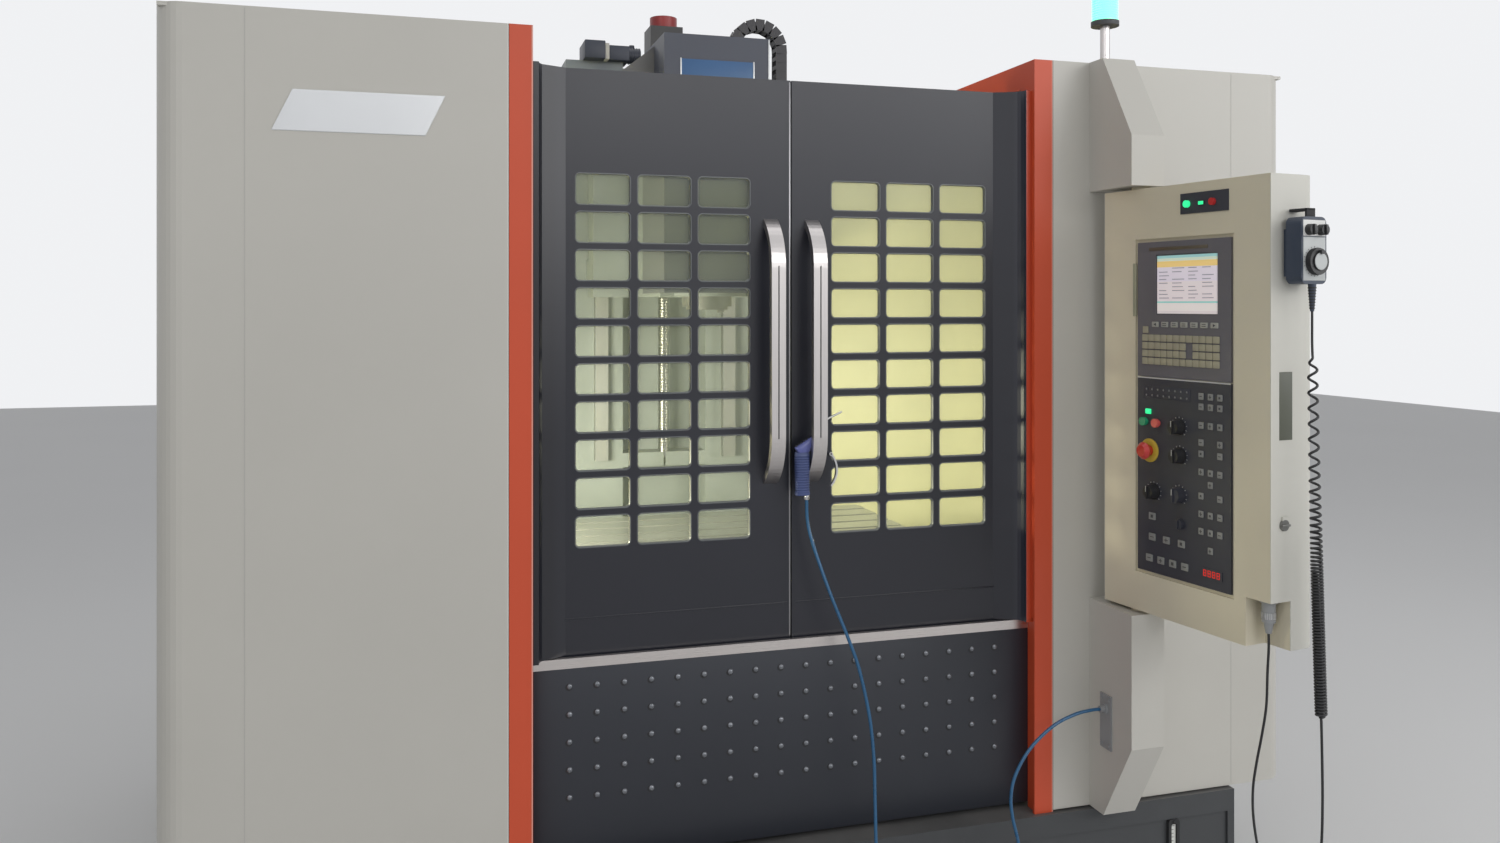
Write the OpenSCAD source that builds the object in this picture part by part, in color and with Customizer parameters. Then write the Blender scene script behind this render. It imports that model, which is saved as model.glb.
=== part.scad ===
// Vertical machining centre with a sheet metal enclosure, two sliding doors,
// a swivelling control pendant and a hand-wheel on a curly lead. Millimetres, +Z up.
// Y runs from the operator's side into the machine; Y = 0 of the drawing is the front face.

/* [Enclosure] */
// Overall width of the enclosure
enc_w = 2700; // [2620:10:2900]
// Depth of the enclosure behind its front face
enc_d = 1660; // [1640:10:1760]
// Lower edge of the front panels above the floor
skirt_z = 300; // [285:5:330]
// Height of the front panels
front_h = 1848; // [1800:4:1920]
// Sheet thickness of the front panels
sheet_t = 8; // [5:0.5:10]
// Depth of the folded return at the outer edges
return_d = 118; // [112:2:140]
// Radius of the outer edges
edge_r = 55; // [20:5:80]
// Width of the orange trims beside the doors
trim_w = 51; // [35:1:70]
// Width between the trims
opening_w = 1214; // [1200:2:1240]
// How far the trims hang below the front panels
trim_drop = 5; // [0:1:10]
// Depth of the trim's side plate above the doors
trim_d = 430; // [300:10:520]
// Thickness of the side walls
wall_t = 20; // [12:1:30]

/* [Doors] */
// Recess of the doors behind the front face
door_y = 66; // [60:1:70]
// Thickness of a door
door_t = 30; // [24:1:34]
// Bottom edge of the doors above the floor
door_z = 753; // [750:1:756]
// Height of the doors
door_h = 1321; // [1300:1:1330]
// Gap between a door's meeting edge and the middle
door_gap = 1.5; // [1:0.5:4]
// Window openings side by side
win_cols = 3; // [2:1:4]
// Window openings one above the other
win_rows = 10; // [8:1:11]
// Width of one window opening
win_w = 123.5; // [100:0.5:126]
// Height of one window opening
win_h = 69; // [56:1:72]
// Bar between openings side by side
win_bar_x = 17.6; // [14:0.2:24]
// Bar between openings one above the other
win_bar_z = 16.4; // [12:0.2:20]
// Corner radius of an opening
win_r = 10; // [4:1:18]
// Distance from the middle to the first opening
win_x = 101.5; // [96:0.5:110]
// Height of the lowest opening above the floor
win_z = 1002; // [980:1:1020]
// Pane thickness
pane_t = 6; // [4:1:8]
// Distance from the middle to the handles' centres
handle_x = 51; // [48:1:56]
// Width of a handle
handle_w = 34; // [28:1:40]
// Thickness of the handle bar
handle_t = 16; // [12:1:20]
// Height of the handles' lower ends
handle_z = 1126; // [1100:1:1150]
// Length of a handle
handle_h = 620; // [560:5:680]
// Outer radius of a handle's bends
handle_r = 133; // [110:1:160]

/* [Apron and sill] */
// Recess of the apron behind the front face
apron_y = 46; // [40:1:50]
// Thickness of the apron
apron_t = 12; // [8:1:16]
// Bottom edge of the apron
apron_z = 307; // [303:1:315]
// Domes side by side
dome_cols = 18; // [12:1:18]
// Domes one above the other
dome_rows = 5; // [3:1:6]
// Pitch of the domes
dome_pitch = 61.5; // [56:0.5:64]
// Radius of a dome at its foot
dome_r = 7.5; // [6:0.5:12]
// How far a dome stands out
dome_h = 4.5; // [3:0.5:8]
// Top of the sill strip above the doors' bottom edge
sill_over = 9; // [6:1:14]
// Height of the bright sill strip
sill_h = 22; // [18:1:30]

/* [Bed and axes] */
// Spindle axis behind the front face
spindle_y = 880; // [870:2:890]
// Half travel of the table across
x_half = 500; // [450:5:520]
// Half travel of the saddle
y_half = 275; // [240:5:280]
// Travel of the head
z_travel = 550; // [480:5:560]
// Width of the bed
bed_w = 960; // [920:10:1000]
// Top of the bed casting
bed_z = 520; // [510:2:530]
// Height of the levelling feet
foot_h = 60; // [55:1:70]
// Height of a guide rail
rail_h = 36; // [32:1:40]
// Width of a guide rail
rail_w = 45; // [36:1:55]
// Clearance between carriages and rails
run_gap = 0.3; // [0.2:0.05:0.5]
// Height of the saddle casting
saddle_h = 130; // [120:1:140]
// Length of the saddle across
saddle_w = 1560; // [1540:5:1600]
// Length of the table
table_w = 1200; // [1150:10:1240]
// Depth of the table
table_d = 560; // [520:5:570]
// Height of the table casting
table_h = 110; // [95:1:125]
// T-slots in the table
slot_n = 5; // [3:1:6]
// Width of a T-slot at the top
slot_w = 18; // [14:1:22]
// Pitch of the T-slots
slot_pitch = 100; // [80:2:110]
// Diameter of the ball screws
screw_d = 40; // [32:1:50]

/* [Column and head] */
// Width of the column
col_w = 700; // [660:10:740]
// Depth of the column
col_d = 520; // [480:10:560]
// Top of the column above the floor
col_top = 2400; // [2360:5:2440]
// Throat from the spindle axis to the column
throat = 620; // [600:5:640]
// Spindle nose above the table at the top of travel
nose_gap = 670; // [650:5:690]
// Diameter of the spindle's nose
nose_d = 150; // [130:2:170]
// Taper socket diameter at the nose
taper_d = 44.45; // [40:0.05:50]
// Width of the head's cover
cover_w = 320; // [300:5:340]
// Top of the head's cover above the floor at the top of travel
cover_top = 2335; // [2300:5:2360]

/* [Tool magazine] */
// Tool pockets round the disc
pockets = 24; // [16:1:26]
// Radius of the pocket circle
disc_r = 340; // [330:5:350]

/* [Pendant] */
// Width of the pendant
pen_w = 490; // [480:5:510]
// Depth of the pendant
pen_d = 135; // [125:1:140]
// Height of the pendant
pen_h = 994; // [960:2:996]
// Swing out from the closed place, in degrees
pen_swing = 81.7; // [60:0.1:95]
// Rounding of the rear edges
pen_r = 32; // [24:1:40]
// Distance of the swivel from the left edge
piv_x = 88; // [80:1:96]
// Distance of the swivel behind the face
piv_y = 32; // [28:1:40]
// Diameter of the swivel tube
piv_d = 44; // [36:1:50]
// Reach of the brackets in front of the panels
brk_d = 174; // [168:1:190]
// Width of the brackets
brk_w = 89; // [84:1:96]
// Gap between pendant and brackets
brk_gap = 8; // [5:1:12]
// Width of the screen's glass
lcd_w = 175; // [160:1:190]
// Height of the screen's glass
lcd_h = 133; // [120:1:140]
// Diameter of the stop mushroom
estop_d = 40; // [34:1:44]
// Diameter of the selector knobs
knob_d = 34; // [28:1:40]

/* [Hand-wheel] */
// Height of the hand-wheel box
mpg_h = 138; // [126:1:160]
// Width of the hand-wheel box
mpg_w = 72; // [68:1:84]
// Depth of the hand-wheel box
mpg_d = 38; // [34:1:46]
// Diameter of the hand-wheel
wheel_d = 54; // [48:1:62]
// Diameter of the lead
lead_d = 6; // [5:0.5:7]
// Outer diameter of the curly part
coil_d = 28; // [24:1:32]

/* [Air line] */
// Diameter of the air hose
hose_d = 8; // [6:0.5:10]

/* [Hidden] */
$fn = 48;

hw = enc_w / 2;
front_top = skirt_z + front_h;
open_x = opening_w / 2;
fascia_x = open_x + trim_w;
door_top = door_z + door_h;
door_w = open_x - door_gap - 4;
lip_r = door_y - sheet_t - 8;
sill_top = door_z + sill_over;
sill_z = sill_top - sill_h;
grid_w = win_cols * win_w + (win_cols - 1) * win_bar_x;
grid_h = win_rows * win_h + (win_rows - 1) * win_bar_z;
pane_m = 14;

rail_y = spindle_y - y_half - 265;
rail_len = 2 * (y_half + 265);
yrail_x = 330;
carr = 100;
saddle_z = bed_z + 50;
saddle_top = saddle_z + saddle_h;
table_z = saddle_top + 50;
table_top = table_z + table_h;
xrail_y = 200;
col_y = spindle_y + throat;
zrail_x = 230;
head_back = col_y - 50;
nose_z = table_top + nose_gap;
head_bot = nose_z + 40;
head_top = cover_top - 90;
bed_back = col_y + col_d + 60;
x_drive = saddle_w / 2;
wall_y = return_d + 2;
cab_y = enc_d + 20;
cab_d = 430;
cab_w = 760;
cab_h = 1650;
cab_x = hw - 10;
cab_back = cab_y + cab_d;
depth_max = cab_y + cab_d + 29.8;

// The pendant's own axes: x across its face, y behind it, turned about the swivel
piv_wx = 817;
piv_wy = -(brk_d - 44);
brk_x = piv_wx - 56;
pen_z = 824;
low_top = pen_z - brk_gap;
pen_top = pen_z + pen_h;
hood_z = pen_top + brk_gap;
mpg_x = pen_w + 12;
mpg_z = 1588;
mpg_y = 65 - mpg_w / 2;
y_min = piv_wy - (mpg_x + mpg_d + 22 - piv_x) * sin(pen_swing)
    + (mpg_y + mpg_w / 2 - 4.5 - piv_y) * cos(pen_swing);
y_mid = (depth_max + y_min) / 2;

// The air hose, from the gun to the socket, and the lead of the hand-wheel
hose_pts = [[25, 26, 1100.8], [25, 26, 1094], [25, 26, 1086], [26, 22, 1040], [36, 8, 985],
    [66, -18, 883], [106, -36, 775],
    [130, -42, 704], [153, -46, 597], [163, -48, 501], [165, -50, 407], [167, -54, 283], [172, -62, 150],
    [200, -92, 60], [262, -130, 14], [340, -150, 8], [430, -146, 10], [490, -116, 60], [518, -90, 150],
    [520, -78, 260], [506, -74, 330], [501, -74, 380], [513, -74, 432], [552, -74, 490], [613, -74, 537],
    [672, -74, 559], [718, -74, 565], [741, -74, 565]];
lead_x = mpg_x + mpg_d - 8;
lead_a = [[lead_x, 69, 1532], [lead_x, 69, 1500], [lead_x, 69, 1470], [lead_x + 1, 69, 1440]];
lead_b = [[548, 76, 700], [550, 76, 620], [551, 76, 530], [549, 75, 440], [540, 72, 350], [520, 66, 290],
    [490, 55, 265], [460, 44, 290], [438, 37, 345], [424, 34, 406], [415, 34, 460], [415, 34, 515],
        [424, 34, 571],
    [438, 34, 636], [449, 34, 700], [452, 34, 770], [455, 34, 820], [455, 34, 855]];
coil_pts = [[lead_x + 1, 69, 1440], [lead_x + 4, 70, 1240], [lead_x + 10, 71, 1000], [546, 74, 800],
    [548, 76, 700]];

module place() { translate([0, -y_mid, 0]) children(); }
module span(x, y, z) { translate([x[0], y[0], z[0]]) cube([x[1] - x[0], y[1] - y[0], z[1] - z[0]]); }
module at(x, y, z) { translate([x, y, z]) children(); }
module bar_x(d, l) { rotate([0, 90, 0]) cylinder(d = d, h = l); }
module bar_y(d, l) { rotate([-90, 0, 0]) cylinder(d = d, h = l); }
function arc(cx, cy, r, a0, a1, n) = [for (i = [0:n]) let(a = a0 + (a1 - a0) * i / n)
    [cx + r * cos(a), cy + r * sin(a)]];
function rounded(w, h, r, n = 4) = concat(arc(w - r, h - r, r, 0, 90, n), arc(r, h - r, r, 90, 180, n),
    arc(r, r, r, 180, 270, n), arc(w - r, r, r, 270, 360, n));
module plate_y(w, h, t, r, n = 4) { translate([0, t, 0]) rotate([90, 0, 0]) linear_extrude(t)
    polygon(rounded(w, h, r, n)); }

// One ring of a swept tube, square to the route
function unit(v) = v / norm(v);
function dir(p, i) = unit(p[min(i + 1, len(p) - 1)] - p[max(i - 1, 0)]);
function spline(p, i, t) = let(a = p[max(i - 1, 0)], b = p[i], c = p[i + 1], d = p[min(i + 2, len(p) - 1)])
    0.5 * (2 * b + (c - a) * t + (2 * a - 5 * b + 4 * c - d) * t * t + (3 * b - a - 3 * c + d) * t * t * t);
function route(p, k) = concat([for (i = [0:len(p) - 2]) for (j = [0:k - 1]) spline(p, i, j / k)],
    [p[len(p) - 1]]);
module tube(pts, d, n) {
    m = len(pts);
    rings = [for (i = [0:m - 1]) let(w = dir(pts, i), u = unit(cross(w, [0.31, 0.95, 0.07])),
        v = cross(w, u))
        for (j = [0:n - 1]) pts[i] + d / 2 * (u * cos(360 * j / n) + v * sin(360 * j / n))];
    sides = [for (i = [0:m - 2]) for (j = [0:n - 1])
        [i * n + j, i * n + (j + 1) % n, (i + 1) * n + (j + 1) % n, (i + 1) * n + j]];
    ends = [[for (j = [n - 1:-1:0]) j], [for (j = [0:n - 1]) (m - 1) * n + j]];
    polyhedron(points = rings, faces = concat(sides, ends), convexity = 10);
}

// ---- the frame of the machine ----
module bed() {
    color("gray") place() {
        difference() {
            union() {
                span([-bed_w / 2, bed_w / 2], [rail_y - 15, bed_back], [foot_h, foot_h + 120]);
                span([-bed_w / 2 + 40, bed_w / 2 - 40], [rail_y - 5, bed_back - 10], [foot_h + 120, bed_z]);
            }
            span([-160, 160], [rail_y - 20, rail_y + rail_len + 40], [bed_z - 90, bed_z + 1]);
            for (s = [-1, 1]) for (i = [0:3])
                at(s * (bed_w / 2 - 55) - 25, rail_y + 180 + i * 400, foot_h + 170)
                    cube([50, 200, 160]);
        }
        difference() {
            union() {
                at(-100, yscrew_front, bed_z - 90) cube([200, 20, 125]);
                at(-60, rail_y + rail_len - 20, bed_z - 90) cube([120, 50, 120]);
            }
            at(0, yscrew_front - 1, yscrew_z) bar_y(screw_d + 0.6, rail_len + 100);
        }
    }
}
module levelling_feet() {
    color("dimgray") place() for (s = [-1, 1]) for (y = [rail_y + 60, (rail_y + bed_back) / 2,
        bed_back - 80])
        at(s * (bed_w / 2 - 70), y, 0) {
            cylinder(d = 120, h = 22);
            cylinder(d = 36, h = foot_h);
        }
}
module column() {
    color("gray") place() difference() {
        union() {
            difference() {
                union() {
                    span([-col_w / 2, col_w / 2], [col_y, col_y + col_d], [bed_z, col_top]);
                    span([-bed_w / 2 + 40, bed_w / 2 - 40], [col_y + 40, col_y + col_d + 40],
                        [bed_z, bed_z + 160]);
                }
                span([-150, 150], [col_y - 1, col_y + 90], [bed_z + 220, col_top - 160]);
                span([-150, 150], [col_y - 1, col_y + 100], [col_top - 90, col_top + 1]);
            }
            span([-150, 150], [col_y, col_y + 91], [zrail_z - 30, zrail_z + 20]);
            span([col_w / 2 - 10, chain_x + chain_r + 6], [head_back - 60, col_y + 60],
                [head_top - 60 + chain_end - 30, head_top - 60 + chain_end]);
        }
        for (z = [bed_z + 300:330:col_top - 400]) span([-120, 120],
            [col_y + col_d - 80, col_y + col_d + 1], [z, z + 240]);
        at(0, zscrew_y, zrail_z - 31) cylinder(d = screw_d + 0.6, h = col_top - zrail_z);
    }
}
module guide_rails() {
    color("silver") place() {
        for (s = [-1, 1]) span([s * yrail_x - rail_w / 2, s * yrail_x + rail_w / 2],
            [rail_y, rail_y + rail_len], [bed_z, bed_z + rail_h]);
        for (s = [-1, 1]) span([s * zrail_x - rail_w / 2, s * zrail_x + rail_w / 2],
            [col_y - rail_h, col_y], [zrail_z, col_top - 40]);
    }
}
zrail_z = head_bot - z_travel - 20;
module servo(l) {
    // body, flange and the round encoder cap of a servo motor, standing on its flange
    at(-65, -65, 0) cube([130, 130, 16]);
    at(-58, -58, 16) cube([116, 116, l - 56]);
    at(0, 0, l - 40) cylinder(d = 96, h = 40);
}
module servo_motors() {
    color("maroon") place() {
        at(0, yscrew_front, yscrew_z) rotate([90, 0, 0]) servo(mot_len_y);
        at(0, zscrew_y, col_top) servo(z_mot_len);
        difference() {
            at(-75, zscrew_y - 75, col_top - 90) cube([150, 150, 90]);
            at(0, zscrew_y, col_top - 91) cylinder(d = screw_d + 0.6, h = 66);
        }
    }
}
z_mot_len = 170;
mot_len_y = 150;
yscrew_z = bed_z - 24;
yscrew_front = rail_y + 10;
zscrew_y = col_y + 20;

// ---- sheet metal round the machine ----
module fascia_profile() {
    difference() {
        polygon(concat([[fascia_x, 0]], arc(hw - edge_r, edge_r, edge_r, -90, 0, 8),
            [[hw, return_d], [fascia_x, return_d]]));
        polygon(concat([[fascia_x - 1, sheet_t]], arc(hw - edge_r, edge_r, edge_r - sheet_t, -90, 0, 8),
            [[hw - sheet_t, return_d + 1], [fascia_x - 1, return_d + 1]]));
    }
}
module fascia() {
    intersection() {
        at(0, 0, skirt_z) linear_extrude(front_h) fascia_profile();
        at(0, return_d + 1, skirt_z) rotate([90, 0, 0]) linear_extrude(return_d + 2)
            polygon(concat([[fascia_x - 1, 0]], arc(hw - corner_r, corner_r, corner_r, -90, 0, 6),
                [[hw, front_h + 1], [fascia_x - 1, front_h + 1]]));
    }
    span([fascia_x + 4, hw - sheet_t], [sheet_t, 40], [front_top - sheet_t, front_top]);
    span([fascia_x + 4, hw - edge_r], [sheet_t, 26], [skirt_z, skirt_z + 40]);
}
corner_r = 28;
module left_fascia() { color("ivory") place() mirror([1, 0, 0]) fascia(); }
module right_fascia() { color("ivory") place() fascia(); }
module trim_strip() {
    span([open_x, fascia_x], [0, sheet_t], [skirt_z - trim_drop, front_top]);
    span([open_x + 8, open_x + 14], [sheet_t, apron_y], [skirt_z - trim_drop, sill_top - sill_h]);
    span([open_x, open_x + 10], [sheet_t, trim_d], [door_top + 10, front_top]);
    span([open_x + 10, fascia_x], [trim_d - 14, trim_d], [door_top + 10, front_top]);
}
module left_trim() { color("orangered") place() mirror([1, 0, 0]) trim_strip(); }
module right_trim() { color("orangered") place() trim_strip(); }
module apron() {
    color("darkslategray") place() {
        span([-open_x - 8, open_x + 8], [apron_y, apron_y + apron_t], [apron_z, sill_z]);
        span([-open_x - 8, open_x + 8], [apron_y + apron_t, apron_y + 60], [apron_z, apron_z + 8]);
        for (i = [0:dome_cols - 1]) for (j = [0:dome_rows - 1])
            at((i - (dome_cols - 1) / 2) * dome_pitch, apron_y, sill_z - 40 - j * dome_pitch)
                rotate([90, 0, 0]) cylinder(r1 = dome_r, r2 = dome_r * 0.45, h = dome_h, $fn = 16);
    }
}
module door_sill() {
    color("silver") place() {
        span([-open_x - 8, open_x + 8], [apron_y, apron_y + 12], [sill_z, sill_top]);
        span([-hw + return_d, hw - return_d], [apron_y + 12, door_y + door_t + 24],
            [sill_z - 14, door_z - 6]);
        span([-hw + return_d, hw - return_d], [door_y + door_t + 12, door_y + door_t + 24],
            [door_z - 6, door_z + 20]);
    }
}
module top_rail() {
    color("dimgray") place() {
        span([-hw + return_d, hw - return_d], [door_y + door_t + 22, door_y + door_t + 52],
            [door_top - 70, door_top - 10]);
        for (s = [-1, 1]) span([s * (hw - return_d / 2 - wall_t) - return_d / 2,
            s * (hw - return_d / 2 - wall_t) + return_d / 2],
            [door_y + door_t + 22, wall_y + 60], [door_top - 70, door_top - 10]);
    }
}
module side_walls() {
    color("ivory") place() for (s = [-1, 1]) {
        span([s * (hw - wall_t / 2) - wall_t / 2, s * (hw - wall_t / 2) + wall_t / 2], [return_d, enc_d],
            [skirt_z + corner_r, front_top]);
        span([s * (hw - wall_t - 20) - 20, s * (hw - wall_t - 20) + 20], [enc_d - 40, enc_d],
            [skirt_z, front_top]);
    }
}
module splash_guard() {
    // rear wall with a slot for the head, and the sloping floor that drains to the tank
    color("gainsboro") place() {
        difference() {
            span([-hw + wall_t + 40, hw - wall_t - 40], [enc_back, enc_back + 12],
                [skirt_z + 20, front_top - 40]);
            span([-col_w / 2 - 6, col_w / 2 + 6], [enc_back - 1, enc_back + 13], [skirt_z, front_top]);
            span([-bed_w / 2 - 2, bed_w / 2 + 2], [enc_back - 1, enc_back + 13], [skirt_z, bed_z + 2]);
            span([col_w / 2, chain_x + chain_r + 8], [enc_back - 1, enc_back + 13],
                [head_top - 92 + chain_end, front_top]);
        }
        for (s = [-1, 1]) span([s * (hw - wall_t - 20) - 20, s * (hw - wall_t - 20) + 20],
            [enc_back, enc_back + 12], [skirt_z + 20, front_top - 40]);
        for (s = [-1, 1]) mirror([s < 0 ? 1 : 0, 0, 0]) at(0, enc_back + 3, 0) rotate([90, 0, 0])
            linear_extrude(enc_back - 87) polygon([[bed_w / 2 - 40, skirt_z + 60],
                [hw - wall_t, skirt_z + 200],
                [hw - wall_t, skirt_z + 208], [bed_w / 2 - 40, skirt_z + 68]]);
        span([-bed_w / 2 + 34, bed_w / 2 - 34], [90, rail_y - 5], [skirt_z + 60, skirt_z + 68]);
    }
}
enc_back = col_y + 14;
module electric_cabinet() {
    color("ivory") place() difference() {
        span([cab_x - cab_w, cab_x], [cab_y - 20, cab_y + cab_d], [skirt_z + 40, skirt_z + 40 + cab_h]);
        span([cab_x - cab_w + 20, cab_x - 20], [cab_y + 20, cab_y + cab_d + 1],
            [skirt_z + 60, skirt_z + 20 + cab_h]);
    }
}
module cabinet_door() {
    color("ivory") place() {
        span([cab_x - cab_w + 4, cab_x - 1], [cab_back + 0.3, cab_back + 22.3],
            [skirt_z + 42, skirt_z + 38 + cab_h]);
        span([cab_x - cab_w + 60, cab_x - cab_w + 90], [cab_back + 22.3, cab_back + 29],
            [skirt_z + 700, skirt_z + 860]);
        for (z = [skirt_z + 240, skirt_z + 1440]) at(cab_x - 4, cab_back + 25.3, z) cylinder(d = 9, h = 90);
    }
}
module coolant_tank() {
    color("dimgray") place() difference() {
        union() {
            span([-tank_x, tank_x], [-12, rail_y - 60], [46, tank_top]);
            for (s = [-1, 1]) span([s * (tank_x + bed_w / 2 + 20) / 2 - (tank_x - bed_w / 2 - 20) / 2,
                s * (tank_x + bed_w / 2 + 20) / 2 + (tank_x - bed_w / 2 - 20) / 2], [rail_y - 60, 1200],
                    [46, tank_top]);
            for (x = [-tank_x + 90, 0, tank_x - 90]) for (y = [60, 240]) at(x - 30, y, 0)
                cube([60, 60, 46]);
        }
        span([-tank_x + 20, tank_x - 20], [-13, -6], [80, skirt_z - 60]);
    }
}
tank_x = 1180;
tank_top = skirt_z - trim_drop - 0.3;
module level_gauge() {
    color("black") place() difference() {
        at(980, -16, 110) plate_y(32, 130, 10, 8);
        at(988, -17, 122) plate_y(16, 106, 6, 4);
    }
}

// ---- brackets, socket and lamp ----
module bracket_profile(h, cut, slope) {
    polygon([[0, 0], [-brk_d, 0], [-brk_d, h - cut], [-slope, h], [0, h]]);
}
module upper_bracket() {
    color("ivory") place() difference() {
        at(brk_x, 0, hood_z) rotate([90, 0, 90]) linear_extrude(brk_w)
            bracket_profile(front_top - hood_z, front_top - hood_z - 119, 57);
        at(piv_wx, piv_wy, hood_z - 1) cylinder(d = piv_d + 0.6, h = 91);
    }
}
module lower_bracket() {
    color("ivory") place() difference() {
        at(brk_x, 0, low_top) mirror([0, 0, 1]) rotate([90, 0, 90]) linear_extrude(brk_w)
            bracket_profile(low_top - skirt_z, 200, 60);
        at(piv_wx, piv_wy, low_top - 90) cylinder(d = piv_d + 0.6, h = 91);
    }
}
module air_socket() {
    // plate on the bracket's side, held by four screws, with one push-in fitting
    color("gray") place() {
        at(brk_x - 4, sock_y - 22, 468) cube([4, 45, 131]);
        at(brk_x - 4, sock_y, sock_z) rotate([0, -90, 0]) { cylinder(d = 24, h = 5);
            cylinder(d = 16, h = sock_l); }
        for (y = [-14, 15]) for (z = [478, 589]) at(brk_x - 4, sock_y + y, z) rotate([0, -90, 0])
            cylinder(d = 8, h = 3, $fn = 24);
    }
}
sock_y = -74;
sock_z = 565;
sock_l = 16;
module signal_lamp() {
    color("green") place() at(lamp_x, 60, front_top) {
        at(-40, -36, 0) cube([80, 72, 10]);
        cylinder(d = 24, h = lamp_pole);
        at(0, 0, lamp_pole) cylinder(d = 70, h = 12);
        for (i = [0:2]) at(0, 0, lamp_pole + 12 + i * 64) cylinder(d = 66, h = 62);
        for (i = [0:2]) at(0, 0, lamp_pole + 12 + i * 64 + 60) cylinder(d = 60, h = 6);
        at(0, 0, lamp_pole + 12 + 3 * 64) cylinder(d1 = 66, d2 = 50, h = 12);
    }
    color("ivory") place() at(lamp_x - 50, 41, front_top - 30) cube([100, 57, 30]);
}
lamp_x = 845;
lamp_pole = 110;

// ---- tool magazine ----
mag_x = -820;
mag_y = spindle_y + 90;
mag_z = nose_z + 60;
mag_shaft = 60;
module magazine_drum() {
    // round cover with its lower front open, carried from the left wall
    color("gainsboro") place() {
        at(mag_x - 120, mag_y, mag_z) rotate([0, 90, 0]) difference() {
            cylinder(r = disc_r + 60, h = 14, $fn = 64);
            at(0, 0, -1) cylinder(d = mag_shaft - 0.6, h = 20);
        }
        at(mag_x - 106, mag_y, mag_z) bar_x(mag_shaft - 0.6, 136);
        span([-hw + wall_t, mag_x - 120], [mag_y - 120, mag_y + 120], [mag_z - 120, mag_z + 120]);
    }
}
module tool_disc() {
    color("silver") place() at(mag_x, mag_y, mag_z) rotate([0, 90, 0]) {
        difference() {
            union() {
                cylinder(r = disc_r - 40, h = 30, $fn = 64);
                cylinder(d = 120, h = 50);
                for (i = [0:pockets - 1]) rotate(i * 360 / pockets) at(disc_r, 0, -20)
                    cylinder(d = 74, h = 70, $fn = 24);
                for (i = [0:pockets - 1]) rotate(i * 360 / pockets) at(disc_r - 60, -12, 4)
                    cube([40, 24, 22]);
            }
            for (i = [0:pockets - 1]) rotate(i * 360 / pockets) at(disc_r, 0, 46.5)
                cylinder(d = taper_d, h = 4, $fn = 24);
            at(0, 0, -1) cylinder(d = mag_shaft, h = 40);
        }
    }
}

// ---- doors ----
module window_cuts(y, t) {
    for (i = [0:win_cols - 1]) for (j = [0:win_rows - 1])
        at(win_x + i * (win_w + win_bar_x), y, win_z + j * (win_h + win_bar_z))
            plate_y(win_w, win_h, t, win_r, 3);
}
module door() {
    difference() {
        union() {
            span([door_gap, door_gap + door_w - lip_r], [door_y, door_y + door_t], [door_z, door_top]);
            span([door_gap + door_w - lip_r - 24, door_gap + door_w - 10], [door_y, door_y + door_t - 10],
                [door_z, sill_top + 2]);
            at(0, 0, sill_top + 1) linear_extrude(door_top - sill_top - 1) polygon(concat(
                arc(door_gap + door_w - lip_r, door_y - lip_r, lip_r, 90, 0, 6),
                [[door_gap + door_w - 10, door_y - lip_r]],
                arc(door_gap + door_w - lip_r, door_y - lip_r, lip_r - 10, 0, 40, 3),
                [[door_gap + door_w - lip_r - 24, door_y], [door_gap + door_w - lip_r - 24, door_y +
                    door_t - 10]],
                [[door_gap + door_w - lip_r, door_y + door_t]]));
        }
        window_cuts(door_y - 1, door_t + 2);
        span([win_x - pane_m, win_x + grid_w + pane_m], [door_y + 10, door_y + door_t + 1],
            [win_z - pane_m, win_z + grid_h + pane_m]);
    }
    // lip that laps behind the trim, so no gap shows beside the door
    span([door_gap + door_w - 9, door_gap + door_w + lap], [door_y - lip_r, door_y - lip_r + 5],
        [sill_top + 1, door_top]);
    // hangers that run on the top rail
    for (x = [door_gap + 90, door_gap + door_w - 150]) {
        span([x, x + 60], [door_y + door_t, door_y + door_t + 21.7], [door_top - 62, door_top - 18]);
        span([x, x + 60], [door_y + door_t, door_y + door_t + 40], [door_top - 9.7, door_top]);
    }
}
lap = 18;
module window_pane() {
    span([win_x - pane_m, win_x + grid_w + pane_m], [door_y + 10, door_y + 10 + pane_t],
        [win_z - pane_m, win_z + grid_h + pane_m]);
}
module handle() {
    // bar whose ends run back to the door in long bends, with one groove along its middle
    at(handle_x - handle_w / 2, 0, handle_z) rotate([90, 0, 90]) difference() {
        linear_extrude(handle_w) polygon(concat(arc(handle_r, handle_c, handle_r, 180 + bend_out, 180, 12),
            arc(handle_r, handle_h - handle_c, handle_r, 180, 180 - bend_out, 12),
            arc(handle_r, handle_h - handle_c, handle_r - handle_t, 180 - bend_in, 180, 12),
            arc(handle_r, handle_c, handle_r - handle_t, 180, 180 + bend_in, 12)));
        translate([-1, handle_c - 4, handle_w / 2 - 1.5]) cube([5, handle_h - 2 * handle_c + 8, 3]);
    }
}
handle_c = sqrt(pow(handle_r, 2) - pow(handle_r - door_y, 2));
bend_out = acos((handle_r - door_y) / handle_r);
bend_in = acos((handle_r - door_y) / (handle_r - handle_t));
module left_door() { color("slategray") place() mirror([1, 0, 0]) door(); }
module right_door() { color("slategray") place() door(); }
module left_window() { color("khaki") place() mirror([1, 0, 0]) window_pane(); }
module right_window() { color("khaki") place() window_pane(); }
module left_handle() { color("silver") place() mirror([1, 0, 0]) handle(); }
module right_handle() { color("silver") place() handle(); }

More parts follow.
